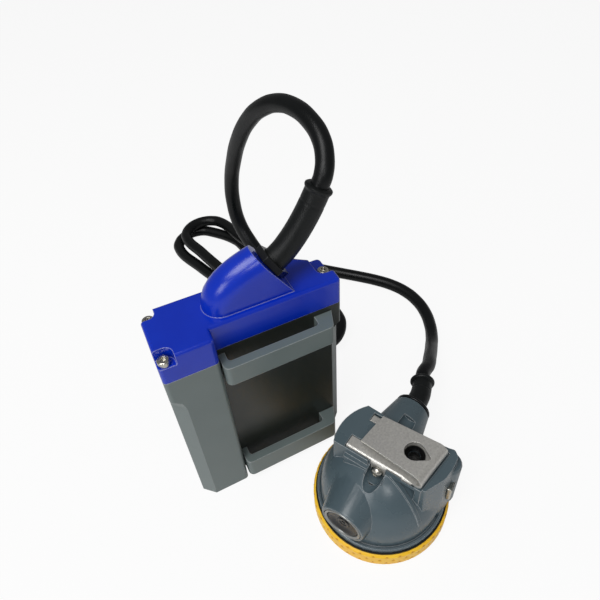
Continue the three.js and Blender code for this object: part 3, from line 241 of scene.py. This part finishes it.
def finish(name, base, worn, rough, shine, grain=(2500, 0.08), metal=0.0, mottle=60, gleam=0.5, edge=0.0,
           painted_highlight=0.0):
    """A material: two near colours mixed by mottling, uneven shine, grain, and edges brightened by a painted
    highlight.
    """
    base, worn = colour(*base), colour(*worn)
    material = bpy.data.materials.new(name)
    material.use_nodes = True
    nodes, links = material.node_tree.nodes, material.node_tree.links
    shader = nodes["Principled BSDF"]
    patches = nodes.new("ShaderNodeGroup")
    patches.node_tree = mottle_group
    patches.inputs["Scale"].default_value = mottle
    blend = nodes.new("ShaderNodeMix")
    blend.data_type = "RGBA"
    blend.inputs["A"].default_value = base
    blend.inputs["B"].default_value = worn
    links.new(patches.outputs["Mask"], blend.inputs["Factor"])
    # A painted highlight: the colour is mixed towards a brighter one along the rounded edges.
    lighter = nodes.new("ShaderNodeMix")
    lighter.data_type = "RGBA"
    lighter.inputs["B"].default_value = [v + (1 - v) * painted_highlight for v in base[:3]] + [1]
    links.new(blend.outputs["Result"], lighter.inputs["A"])
    links.new(lighter.outputs["Result"], shader.inputs["Base Color"])
    gloss = nodes.new("ShaderNodeMapRange")
    gloss.inputs["To Min"].default_value = rough - shine
    gloss.inputs["To Max"].default_value = rough + shine
    texture = nodes.new("ShaderNodeGroup")
    texture.node_tree = grain_group
    texture.inputs["Scale"].default_value = grain[0]
    texture.inputs["Height"].default_value = grain[1]
    texture.inputs["Edge"].default_value = edge * MM
    links.new(texture.outputs["Painted highlight"], lighter.inputs["Factor"])
    links.new(patches.outputs["Mask"], gloss.inputs["Value"])
    links.new(gloss.outputs["Result"], shader.inputs["Roughness"])
    links.new(texture.outputs["Normal"], shader.inputs["Normal"])
    shader.inputs["Metallic"].default_value = metal
    shader.inputs["Specular IOR Level"].default_value = gleam
    return material


# %% [markdown]
# ## The finishes
# The box is a grey moulding with a glossy blue lid, the head is a bluer grey, and the lens ring is bright
# yellow. The cord and its sleeves are black rubber, which reflects less than plastic, so their gleam is
# turned down. The clip is brushed steel that is worn dull, and is shown as partly metal. The screws, the
# contacts and the switch's ring have bare metal finishes too, and most of the others belong to pieces that
# lie inside. Each line below gives two near colours, a roughness and how much it varies.

# %% All the finishes
# The grey, head grey and blue finishes brighten their rounded edges by a painted highlight.
recipes = {
    "grey_plastic": ((100, 111, 110), (105, 116, 115), 0.34, 0.05,
                     {"grain": (2200, 0.1), "edge": 0.6, "painted_highlight": 0.3}),
    "head_grey": ((76, 91, 98), (80, 95, 102), 0.28, 0.05,
                  {"grain": (2200, 0.07), "edge": 0.5, "painted_highlight": 0.35}),
    "blue_plastic": ((1, 42, 176), (2, 48, 186), 0.22, 0.05,
                     {"grain": (1500, 0.04), "edge": 0.7, "painted_highlight": 0.3}),
    "yellow_plastic": ((246, 186, 18), (252, 204, 52), 0.36, 0.07, {"grain": (1800, 0.1)}),
    "black_rubber": ((12, 15, 16), (20, 22, 22), 0.42, 0.08, {"grain": (2600, 0.16), "gleam": 0.28}),
    "cord_jacket": ((9, 11, 12), (15, 17, 18), 0.34, 0.07, {"grain": (3000, 0.1), "gleam": 0.25}),
    "steel": ((196, 193, 184), (172, 169, 160), 0.26, 0.07, {"grain": (2600, 0.06), "metal": 1.0}),
    "clip_steel": ((214, 212, 206), (186, 184, 179), 0.36, 0.08,
                   {"grain": (3800, 0.16), "metal": 0.6, "mottle": 900, "edge": 0.3}),
    "nickel": ((201, 198, 189), (186, 184, 176), 0.32, 0.06, {"metal": 1.0}),
    "cell_can": ((40, 96, 150), (46, 104, 158), 0.35, 0.05, {}),
    "white_plastic": ((214, 214, 208), (204, 204, 198), 0.5, 0.05, {}),
    "circuit_board": ((24, 84, 50), (30, 94, 58), 0.4, 0.08, {}),
    "foam": ((52, 52, 54), (62, 62, 64), 0.9, 0.04, {"grain": (900, 0.5)}),
    "reflector_coat": ((232, 232, 230), (226, 226, 224), 0.08, 0.03, {"grain": (900, 0.01), "metal": 1.0}),
    "heat_sink_metal": ((172, 174, 178), (162, 164, 168), 0.4, 0.06, {"metal": 1.0}),
    "black_plastic": ((15, 16, 18), (20, 22, 24), 0.3, 0.08, {"grain": (2600, 0.08), "gleam": 0.35}),
    "clear_lens": ((236, 240, 242), (230, 236, 240), 0.06, 0.02, {"grain": (900, 0.01)}),
    "ring_metal": ((150, 152, 150), (138, 140, 140), 0.34, 0.05, {"metal": 0.7}),
}
finishes = {name: finish(name, *recipe[:4], **recipe[4]) for name, recipe in recipes.items()}
finishes["hank_jacket"] = finishes["cord_jacket"]
for name, like in (("case_grey", "grey_plastic"), ("bezel_yellow", "yellow_plastic")):
    finishes[name] = finishes[like].copy()
    finishes[name].name = name
finishes["clear_lens"].node_tree.nodes["Principled BSDF"].inputs["Transmission Weight"].default_value = 0.95
print("finishes:", len(finishes))

# %% [markdown]
# ## Painted shade that depends on the place
# Some shade is painted into the colour, by the place. The sunk front face of the box, between the belt loops,
# is painted much darker than the rest of the box: a painted dark reflection on its glossy face. The pits of
# the lens ring get painted shade, darker than the ring. No light reaches the room under the clip's keyhole,
# so the shell and the clip get a painted shadow there. Each could be a mesh of its own with its own material,
# but a shade that is worked out from the place needs no cut in the piece. One kind of node group measures how
# far a place is from a centre, with a weight on each axis: the weights make it the distance from a plane, from
# an upright axis or from a point.

# %% Where the head stands
HEAD_AXIS = Vector((40.8, -60.55, 0))
HEAD_TURN = math.radians(28.2)
HEAD_PLACE = Matrix.Translation(HEAD_AXIS) @ Matrix.Rotation(HEAD_TURN, 4, "Z")


def on_head(x, y, z):
    """A point of the lamp head's own frame, as a point of the whole lamp."""
    return HEAD_PLACE @ Vector((x, y, z))


inwards = HEAD_PLACE.to_3x3() @ Vector((1, 0, 0))
keyhole = [on_head(4.9, -13.8, z) for z in (43.5, 45.8)]
print("the keyhole's middle in the shell and in the clip:", keyhole)



# %% Node groups that measure a place
def measure_group(name, steps):
    """A node group: the place, less a centre, times a weight on each axis, as a length in millimetres."""
    group = bpy.data.node_groups.new(name, "ShaderNodeTree")
    add_socket(group, "Centre", "NodeSocketVector", "INPUT")
    add_socket(group, "Nearer", "NodeSocketFloat", "INPUT", 1.0)
    add_socket(group, "Farther", "NodeSocketFloat", "INPUT", 2.0)
    add_socket(group, "Mask", "NodeSocketFloat", "OUTPUT")
    nodes, links = group.nodes, group.links
    into, out = nodes.new("NodeGroupInput"), nodes.new("NodeGroupOutput")
    place = nodes.new("ShaderNodeTexCoord")
    away = nodes.new("ShaderNodeVectorMath")
    away.operation = "SUBTRACT"
    flat = nodes.new("ShaderNodeVectorMath")
    flat.operation = "MULTIPLY"
    flat.inputs[1].default_value = [step / MM for step in steps]
    size = nodes.new("ShaderNodeVectorMath")
    size.operation = "LENGTH"
    levels = nodes.new("ShaderNodeMapRange")
    links.new(place.outputs["Object"], away.inputs[0])
    links.new(into.outputs["Centre"], away.inputs[1])
    links.new(away.outputs["Vector"], flat.inputs[0])
    links.new(flat.outputs["Vector"], size.inputs[0])
    links.new(size.outputs["Value"], levels.inputs["Value"])
    links.new(into.outputs["Nearer"], levels.inputs["From Min"])
    links.new(into.outputs["Farther"], levels.inputs["From Max"])
    links.new(levels.outputs["Result"], out.inputs["Mask"])
    return group


depth_group = measure_group("distance from a front plane", (0, 1, 0))
round_group = measure_group("distance from an upright axis", (1, 1, 0))
height_group = measure_group("distance from a level plane", (0, 0, 1))
ball_group = measure_group("distance from a point", (1, 1, 1))
print("measuring groups:", [g.name for g in (depth_group, round_group, height_group, ball_group)])


# %% The painted shade
def paint_shade(material, shade, *zones):
    """Mixes a painted shade into a material where a place is near the centres of all zones, each by its own
    group.
    """
    nodes, links = material.node_tree.nodes, material.node_tree.links
    shader = nodes["Principled BSDF"]
    plain_colour = shader.inputs["Base Color"].links[0].from_socket
    outside = None
    for group, centre, nearer, farther in zones:
        zone = nodes.new("ShaderNodeGroup")
        zone.node_tree = group
        zone.inputs["Centre"].default_value = Vector(centre) * MM
        zone.inputs["Nearer"].default_value = nearer
        zone.inputs["Farther"].default_value = farther
        if outside is None:
            outside = zone.outputs["Mask"]
            continue
        either = nodes.new("ShaderNodeMath")
        either.operation = "MAXIMUM"
        links.new(outside, either.inputs[0])
        links.new(zone.outputs["Mask"], either.inputs[1])
        outside = either.outputs["Value"]
    mix = nodes.new("ShaderNodeMix")
    mix.data_type = "RGBA"
    mix.inputs["A"].default_value = shade
    links.new(outside, mix.inputs["Factor"])
    links.new(plain_colour, mix.inputs["B"])
    links.new(mix.outputs["Result"], shader.inputs["Base Color"])


front_faces = {}
for face in frame["nodes"]["battery_case"].data.polygons:
    if face.normal.y < -0.999:
        depth = round(face.center.y / MM, 2)
        front_faces[depth] = front_faces.get(depth, 0) + face.area
sunk_face = max((depth for depth in front_faces if depth < 0), key=front_faces.get)
# A painted dark reflection: the box's sunk front face is painted much darker than the rest.
paint_shade(finishes["case_grey"], colour(38, 42, 38), (depth_group, (0, sunk_face, 0), 0.25, 0.4))
# Painted shade in the lens ring's pits.
paint_shade(finishes["bezel_yellow"], colour(196, 118, 6), (round_group, HEAD_AXIS, 36.4, 36.8),
     (height_group, (0, 0, 5.05), 3.7, 3.9))
# A painted shadow on the shell under the clip's keyhole.
paint_shade(finishes["head_grey"], colour(4, 5, 5), (ball_group, keyhole[0], 5.2, 6.2))
# A painted shadow on the clip round its keyhole, under the tongue.
paint_shade(finishes["clip_steel"], colour(12, 12, 12), (ball_group, keyhole[1], 6.2, 6.8))
print("the box's sunk front face lies at y =", sunk_face, "of", front_faces)

# %% [markdown]
# ## Every CAD node gets its finish
# The record names a material slot for each piece. The pieces inside the box and the head can't be seen while
# these are closed, yet each of them gets the finish of its own slot, for whoever opens the lamp later.

# %% A finish for each CAD node
def paint(piece, material):
    """One material for a whole piece."""
    piece.data.materials.clear()
    piece.data.materials.append(material)


for node, piece in frame["nodes"].items():
    paint(piece, finishes[slots[node]])
print("painted", len(frame["nodes"]), "nodes")

# %% [markdown]
# ## The moulded and bent pieces
# The case, the lid, the head's shell and the lens ring are mouldings, the clip is folded steel, and the nuts
# and screws are small standard parts. They could be modelled afresh, but their solids already have the right
# shape, so they are shown as copies with rounded edges. The large mouldings have wide rounds. The folded
# clip's are narrow, and those of the ring's many small pits narrower still. The shell's faces aren't joined
# up, because its dome shaded unevenly with joined ones.

# %% Refined copies of the CAD pieces
looks = {  # the width of the rounds, the angle that counts as an edge, and the steps across a round
    "battery_case": (0.5, 30, 3), "battery_lid": (0.35, 30, 3), "head_shell": (0.4, 30, 3),
    "helmet_clip": (0.2, 32, 2), "bezel_ring": (0.12, 40, 2), "battery_gland_nut": (0.4, 30, 3),
    "head_gland_nut": (0.3, 30, 2), "lid_screw_1": (0.25, 30, 3), "lid_screw_2": (0.25, 30, 3),
    "lid_screw_3": (0.25, 30, 3), "charge_contact_left": (0.3, 30, 2), "charge_contact_right": (0.3, 30, 2),
    "bezel_gasket": (0, 30, 1),
}
own_finish = {"head_shell": "head_grey", "helmet_clip": "clip_steel", "battery_case": "case_grey",
              "bezel_ring": "bezel_yellow"}
shown = {}
for node, (width, corner, segments) in looks.items():
    shown[node] = refined(node, width, corner, segments, node != "head_shell")
    paint(shown[node], finishes[own_finish.get(node, slots[node])])
print("refined:", {node: len(piece.data.polygons) for node, piece in shown.items()})

# %% [markdown]
# ## Switch
# The push switch sits in a boss on the side of the head: a bright ring, and in it a black button, dished,
# with a raised ring and a nub in the middle. They are small, round and near the camera, so the solids'
# facets would show. Each is turned afresh from its outline, at the solid's size and place. The spring behind
# the button is a copy of its solid.

# %% The switch
SWITCH = (-34, 3.6, 24)
switch_tip = on_head(*SWITCH)
ring = spun("switch_ring_look", [
    (8.9, 0.4), (9.0, 0.1), (9.4, -0.15), (9.95, -0.28), (10.3, -0.12), (10.5, 0.25), (10.5, 1.5), (8.9, 1.5),
    (8.9, 0.4),
], switch_tip, inwards, 96)
button = spun("switch_button_look", [
    (0, 0.85), (0.7, 0.88), (0.95, 1.15), (1.15, 1.35), (2.1, 1.35), (2.3, 1.12), (2.55, 1.02), (3.1, 1.04),
    (3.35, 1.3), (3.6, 1.55), (4.6, 1.52), (6.0, 1.22), (7.3, 0.78), (8.1, 0.5), (8.45, 0.5), (8.6, 0.7),
    (8.6, 1.8), (9.6, 1.8), (9.6, 3.0), (2.2, 3.0), (2.2, 8.9), (0, 8.9),
], switch_tip, inwards, 96)
for piece, node, look in ((ring, "switch_ring", "ring_metal"), (button, "switch_button", "black_plastic")):
    seat(soften(piece), node)
    paint(piece, finishes[look])
spring = frame["nodes"]["switch_spring"].copy()
spring.data = spring.data.copy()
spring.name = "switch_spring_look"
scene.collection.objects.link(spring)
seat(spring, "switch_spring")
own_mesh(spring)

# %% [markdown]
# ## Clip screws
# Two screws with domed heads hold the clip, one on either side of it. They are turned from one outline, head
# and shank. The room round each of them is a round trough in the shell. Where it would open into the lamp's
# inside, a thin curved floor closes it: a small oblong, spun half a turn about the screw's axis.

# %% The clip screws and the floors under them
SCREW_LINE = (-1.3, 43.6)  # how far to the side and how high both screws are on the head
TROUGH_INSIDE, TROUGH_OUTSIDE = 4.34, 5.14
dome_head = [
    (0, 1.5), (0.9, 1.5), (1.1, 2.4), (1.35, 2.58), (1.9, 2.45), (2.5, 2.0), (2.95, 1.3), (3.2, 0.5),
    (3.12, 0), (1.5, 0), (1.5, -6), (0, -6),
]


def trough(name, x0, x1, steps=20):
    """A thin half-round floor under a clip screw, from x0 to x1 on the head."""
    bm = bmesh.new()
    corners = [(x0, TROUGH_INSIDE), (x1, TROUGH_INSIDE), (x1, TROUGH_OUTSIDE), (x0, TROUGH_OUTSIDE)]
    oblong = bm.faces.new([bm.verts.new((x * MM, -r * MM, 0)) for x, r in corners])
    bmesh.ops.spin(bm, geom=[oblong], cent=(0, 0, 0), axis=(1, 0, 0), angle=math.pi, steps=steps)
    line = Matrix.Translation(Vector((0, *SCREW_LINE)) * MM)
    head = HEAD_PLACE.copy()
    head.translation = HEAD_AXIS * MM
    bmesh.ops.transform(bm, matrix=head @ line, verts=bm.verts)
    piece = soften(from_bmesh(name, bm))
    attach(piece, "lamp")
    paint(piece, finishes["head_grey"])
    return piece


for node, x, way in (("clip_screw_front", -9.3, -1), ("clip_screw_rear", 15.1, 1)):
    screw = seat(soften(spun(node + "_look", dome_head, on_head(x, *SCREW_LINE), inwards * way, 48)), node)
    paint(screw, finishes["steel"])
for name, x0, x1 in (("front_screw_trough", -14.6, -7.6), ("rear_screw_trough", 13.2, 16.6)):
    made = trough(name, x0, x1)
    print(name, "has", len(made.data.polygons), "faces")

# %% [markdown]
# ## Strain reliefs
# Where the cord leaves the box and where it enters the head, a rubber sleeve keeps it from being bent too
# sharply. The sleeve tapers, follows the cord's first bend and ends in a rolled lip with a shallow groove
# behind it. A turned piece could be bent by a Curve modifier, which needs a second object to follow. Here
# circles are set square to the path at even distances instead, each with the radius that the sleeve has
# there, and neighbours are bridged.


# %% Points along a path
CURVE_STEPS = 24


def even_points(places, count):
    """Points at even distances along a smooth curve through places, and the curve's length."""
    knots = [Vector(p) for p in places]
    knots = [2 * knots[0] - knots[1]] + knots + [2 * knots[-1] - knots[-2]]
    fine = []
    for a, b, c, d in zip(knots, knots[1:], knots[2:], knots[3:]):
        for i in range(CURVE_STEPS):
            t = i / CURVE_STEPS
            fine.append(0.5 * ((2 * b) + (c - a) * t + (2 * a - 5 * b + 4 * c - d) * t * t
                               + (3 * b - a - 3 * c + d) * t ** 3))
    fine.append(knots[-2])
    run = [0]
    for a, b in zip(fine, fine[1:]):
        run.append(run[-1] + (b - a).length)
    found, k = [], 0
    for i in range(count):
        goal = run[-1] * i / (count - 1)
        while k < len(run) - 2 and run[k + 1] < goal:
            k += 1
        found.append(fine[k].lerp(fine[k + 1], (goal - run[k]) / (run[k + 1] - run[k])))
    return found, run[-1]


def radius_at(profile, distance):
    """The radius at a distance, from (distance, radius) pairs."""
    for (d0, r0), (d1, r1) in zip(profile, profile[1:]):
        if distance <= d1:
            return r0 + (r1 - r0) * (distance - d0) / max(d1 - d0, 1e-6)
    return profile[-1][1]


# %% The two sleeves
SIDES, RINGS = 48, 90
LIP = 3.2  # from where the lip starts to rise to the sleeve's end


def sleeve(name, places, root, tip, lip):
    """A sleeve along a path, with its radius at the root, at the tip and at the lip."""
    line, length = even_points(places, RINGS)
    end = length - LIP
    profile = [(0, root), (end - 5.6, tip + 0.1), (end - 5.1, tip - 0.12), (end - 4.6, tip + 0.05),
               (end, tip), (end + 0.7, tip + 0.08), (end + 1.2, lip - 0.25), (end + 1.7, lip),
               (end + 2.4, lip), (end + 2.9, lip - 0.3), (length, lip - 0.9)]
    bm = bmesh.new()
    before = []
    across = Vector((0, 1, 0))
    for i, middle in enumerate(line):
        ahead = (line[min(i + 1, RINGS - 1)] - line[max(i - 1, 0)]).normalized()
        across = (across - ahead * across.dot(ahead)).normalized()
        square = Matrix((across, ahead.cross(across), ahead)).transposed().to_4x4()
        circle = bmesh.ops.create_circle(bm, segments=SIDES, matrix=Matrix.Translation(middle * MM) @ square,
                                         radius=radius_at(profile, length * i / (RINGS - 1)) * MM)
        edges = list({edge for vert in circle["verts"] for edge in vert.link_edges})
        if before:
            bmesh.ops.bridge_loops(bm, edges=before + edges)
        before = edges
    bmesh.ops.holes_fill(bm, edges=bm.edges, sides=SIDES)
    return soften(from_bmesh(name, bm), corner=40)


GLAND = Vector((14.644, 4.6, 132.053))  # the middle of the hood's slanted end face
CLEARANCE = 0.3  # how far in front of that face the sleeve's own line starts
GLAND_AXIS = Vector((0.8435, 0, 0.5371))
battery_path = [GLAND + GLAND_AXIS * (CLEARANCE - depth) for depth in (14, 7, 0)]
battery_path += [GLAND + Vector((x, 0, z)) for x, z in (
    (4, 2.5), (8.9, 6.5), (14.9, 13.4), (20.7, 21.9), (25.4, 30.4), (27, 33.5))]
head_path = [on_head(x, y, z) for x, y, z in (
    (39.9, 3.6, 30), (44.9, 3.6, 30), (50.9, 4.1, 29.8), (56.9, 5.8, 29.3), (61.6, 7.8, 29))]
for name, path, sizes in (("battery_strain_relief", battery_path, (6.1, 5.8, 6.5)),
                          ("head_strain_relief", head_path, (6.15, 5.75, 7.2))):
    relief = sleeve(name + "_look", path, *sizes)
    seat(relief, name)
    paint(relief, finishes["black_rubber"])
    print(name, "is", round(even_points(path, 9)[1], 1), "mm long")

# %% [markdown]
# ## Cord
# One cord runs from the sleeve on the battery to the sleeve on the head. It is stiff enough to stand up in
# an arc behind the battery, comes down behind it, lies there folded in two turns on top of each other, and
# crosses the floor to the head. It is one Bezier curve with automatic handles, because such a curve bends as
# evenly as a real cord, and its thickness is the curve's own bevel. The route mostly follows the CAD solids.
# It leaves them at the two ends of the folds: the near end reaches further to the front, and the lower far
# end lies a little aside.

# %% The cord's route
CORD = 8.6 * MM
LOOP = [
    (39.7, 4.6, 161.8), (41.64, 4.6, 165.5), (44, 5.3, 170), (47.3, 10.4, 175.4), (48.8, 16.8, 180.3),
    (48.6, 25.5, 184), (46.5, 37.7, 185.9), (43.1, 47.5, 184.7), (38.9, 57.9, 179.2), (35.3, 69.1, 169),
    (32.5, 81.6, 153), (31.2, 92.1, 136), (29.9, 98.6, 119.6), (29, 99.6, 104.6), (29.3, 95.4, 91),
    (32.3, 86.6, 79.5), (37.2, 78, 68.5), (42.3, 72, 57.5), (46.2, 70.5, 46), (48.5, 73.6, 35.5),
    (48.7, 80.6, 27.3), (47.4, 88.8, 21.4),
]
LEAD = [
    (60.5, 157, 4.4), (65, 149.8, 4.4), (70, 144.2, 4.4), (75.5, 138.8, 4.4), (82, 132.4, 4.4),
    (90, 124.2, 4.4), (100, 114.2, 4.4), (110, 104.3, 4.4), (119, 95.4, 4.4), (128, 85.8, 4.4),
    (136, 75, 4.4),
    (141, 64, 4.4), (143, 52, 4.4), (141.7, 39, 4.5), (137, 26, 4.7), (130.6, 15.4, 6), (124, 7.4, 9.2),
    (117.4, 0, 14.2), (110.8, -7, 19.8), (103.6, -14.4, 24.8),
]
NEAR, FAR = Vector((62.5, 61, 0)), Vector((28.6, 197, 0))  # the middles of the folds' two ends
FOLD_RADIUS = 17.4
TOP, LOW = 13.1, 4.4  # the heights of the two turns
SIDEWAYS = Vector((-8, 1, 0))  # how far the lower far end lies from the upper one
RUN = FAR - NEAR
AHEAD = RUN.normalized()
ACROSS = Vector((AHEAD.y, -AHEAD.x, 0))


def strand(side, along, z):
    """A point on a straight strand, -1 for the left one, from the near end (0) to the far end (1)."""
    return NEAR + RUN * along + ACROSS * FOLD_RADIUS * side + Vector((0, 0, z))


def end_turn(middle, start, z0, z1, steps=8):
    """Points round one end of the hank, clockwise from above, between two heights."""
    found = []
    for i in range(1, steps):
        a = math.radians(start + 180 * i / steps)
        upwards = Vector((0, 0, z0 + (z1 - z0) * i / steps))
        found.append(middle + AHEAD * math.sin(a) * FOLD_RADIUS - ACROSS * math.cos(a) * FOLD_RADIUS + upwards)
    return found


head_end = head_path[-1]
head_way = (head_path[-1] - head_path[-2]).normalized()
route = [Vector(p) for p in LOOP]
route += [strand(-1, 0.36, 16), strand(-1, 0.48, TOP), strand(-1, 0.66, TOP), strand(-1, 0.86, TOP)]
route += end_turn(FAR, 0, TOP, TOP)
route += [strand(1, 0.85, TOP), strand(1, 0.5, TOP), strand(1, 0.15, TOP)]
route += end_turn(NEAR, 180, TOP, LOW)
route += [strand(-1, 0.12, LOW), strand(-1, 0.45, LOW), strand(-1, 0.8, LOW) + SIDEWAYS * 0.8]
route += end_turn(FAR + SIDEWAYS, 0, LOW, LOW)
route += [strand(1, 0.9, LOW), strand(1, 0.75, LOW)]
route += [Vector(p) for p in LEAD] + [head_end + head_way * 5, head_end, head_end - head_way * 4]
print("cord points:", len(route))


# %% The cord itself
def smooth_curve(name, points, radius):
    """A round cord through points in millimetres."""
    data = bpy.data.curves.new(name, "CURVE")
    data.dimensions = "3D"
    spline = data.splines.new("BEZIER")
    spline.bezier_points.add(len(points) - 1)
    for knot, point in zip(spline.bezier_points, points):
        knot.co = Vector(point) * MM
        knot.handle_left_type = knot.handle_right_type = "AUTO"
        knot.radius = radius
    spline.resolution_u = 12
    data.bevel_depth = 1 if radius else 0  # it is multiplied by each point's radius, which holds the size
    data.bevel_resolution = 7
    data.use_fill_caps = True
    piece = bpy.data.objects.new(name, data)
    scene.collection.objects.link(piece)
    return piece


def curve_length(points):
    """The length of the cord's own line, from a copy of it as a mesh."""
    piece = smooth_curve("measure", points, 0)
    bpy.context.view_layer.update()
    mesh = piece.evaluated_get(bpy.context.evaluated_depsgraph_get()).to_mesh()
    places = [v.co.copy() for v in mesh.vertices]
    length = sum((a - b).length for a, b in zip(places, places[1:]))
    data = piece.data
    bpy.data.objects.remove(piece)
    bpy.data.curves.remove(data)
    return length


cord_length = curve_length(route)
cord = smooth_curve("cord", route, CORD / 2)
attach(cord, "lamp")
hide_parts("cord_loop", "cord_hank", "cord_lead")
paint(cord, finishes["cord_jacket"])
print("cord length:", round(cord_length, 3), "m")

# %% [markdown]
# ## Floor
# The lamp stands on a pale floor that is nearly as white as the background, but still takes the lamp's
# shadow. A brighter light would do that only by bleaching the lamp too. Instead the floor's own material
# looks at what kind of ray reaches it: rays from the camera see nine parts of even white to one part of a
# real pale surface, and all the others see the real surface.

# %% The floor
FLOOR_REACH = 3
bm = bmesh.new()
bmesh.ops.create_grid(bm, x_segments=1, y_segments=1, size=FLOOR_REACH)
floor = from_bmesh("floor", bm)
floor_finish = bpy.data.materials.new("floor")
floor_finish.use_nodes = True
floor_nodes, floor_links = floor_finish.node_tree.nodes, floor_finish.node_tree.links
floor_shader = floor_nodes["Principled BSDF"]
floor_shader.inputs["Base Color"].default_value = (0.9, 0.9, 0.9, 1)
floor_shader.inputs["Roughness"].default_value = 0.8
white = floor_nodes.new("ShaderNodeEmission")
rays = floor_nodes.new("ShaderNodeLightPath")
share = floor_nodes.new("ShaderNodeMath")
share.operation = "MULTIPLY"
share.inputs[1].default_value = 0.9
either = floor_nodes.new("ShaderNodeMixShader")
floor_links.new(rays.outputs["Is Camera Ray"], share.inputs[0])
floor_links.new(share.outputs["Value"], either.inputs["Fac"])
floor_links.new(floor_shader.outputs["BSDF"], either.inputs[1])
floor_links.new(white.outputs["Emission"], either.inputs[2])
floor_links.new(either.outputs["Shader"], floor_nodes["Material Output"].inputs["Surface"])
paint(floor, floor_finish)
print("the floor reaches", FLOOR_REACH, "m each way")

# %% [markdown]
# ## Light
# One big soft lamp hangs above and to the left, and gives the shadow that falls to the right. A second one,
# lower on the left, lights the upright sides. A small, weak one near the camera's side draws the bright
# lines along the rounded edges. The world adds a weak even fill, and is nearly white only to the camera's
# own rays.


# %% Lamps and world
def area_lamp(name, place, target, size, power):
    """A square soft lamp that faces a target."""
    data = bpy.data.lights.new(name, "AREA")
    data.size = size
    data.energy = power
    lamp = bpy.data.objects.new(name, data)
    aim = (Vector(target) - Vector(place)).to_track_quat("-Z", "Y")
    lamp.matrix_world = Matrix.Translation(place) @ aim.to_matrix().to_4x4()
    scene.collection.objects.link(lamp)
    return lamp


for name, place, target, size, power in (
        ("top_lamp", (-0.42, -0.22, 1.1), (0.03, -0.02, 0.05), 0.6, 7.0),
        ("left_lamp", (-0.9, -0.5, 0.6), (0.03, -0.02, 0.06), 0.4, 2.4),
        ("edge_lamp", (-0.22, -0.85, 0.95), (0.03, -0.02, 0.06), 0.16, 1.3)):
    area_lamp(name, place, target, size, power)
WORLD_FILL, WORLD_SEEN = 0.22, 0.96
world = bpy.data.worlds.new("studio")
scene.world = world
world.use_nodes = True
background = world.node_tree.nodes["Background"]
background.inputs["Color"].default_value = (1, 1, 1, 1)
seen = world.node_tree.nodes.new("ShaderNodeLightPath")
brightness = world.node_tree.nodes.new("ShaderNodeMapRange")
brightness.inputs["To Min"].default_value = WORLD_FILL
brightness.inputs["To Max"].default_value = WORLD_SEEN
world.node_tree.links.new(seen.outputs["Is Camera Ray"], brightness.inputs["Value"])
world.node_tree.links.new(brightness.outputs["Result"], background.inputs["Strength"])
scene.view_settings.view_transform = "Standard"
print("lamps:", [(lamp.name, lamp.energy) for lamp in bpy.data.lights])

# %% Finish
bpy.context.view_layer.update()
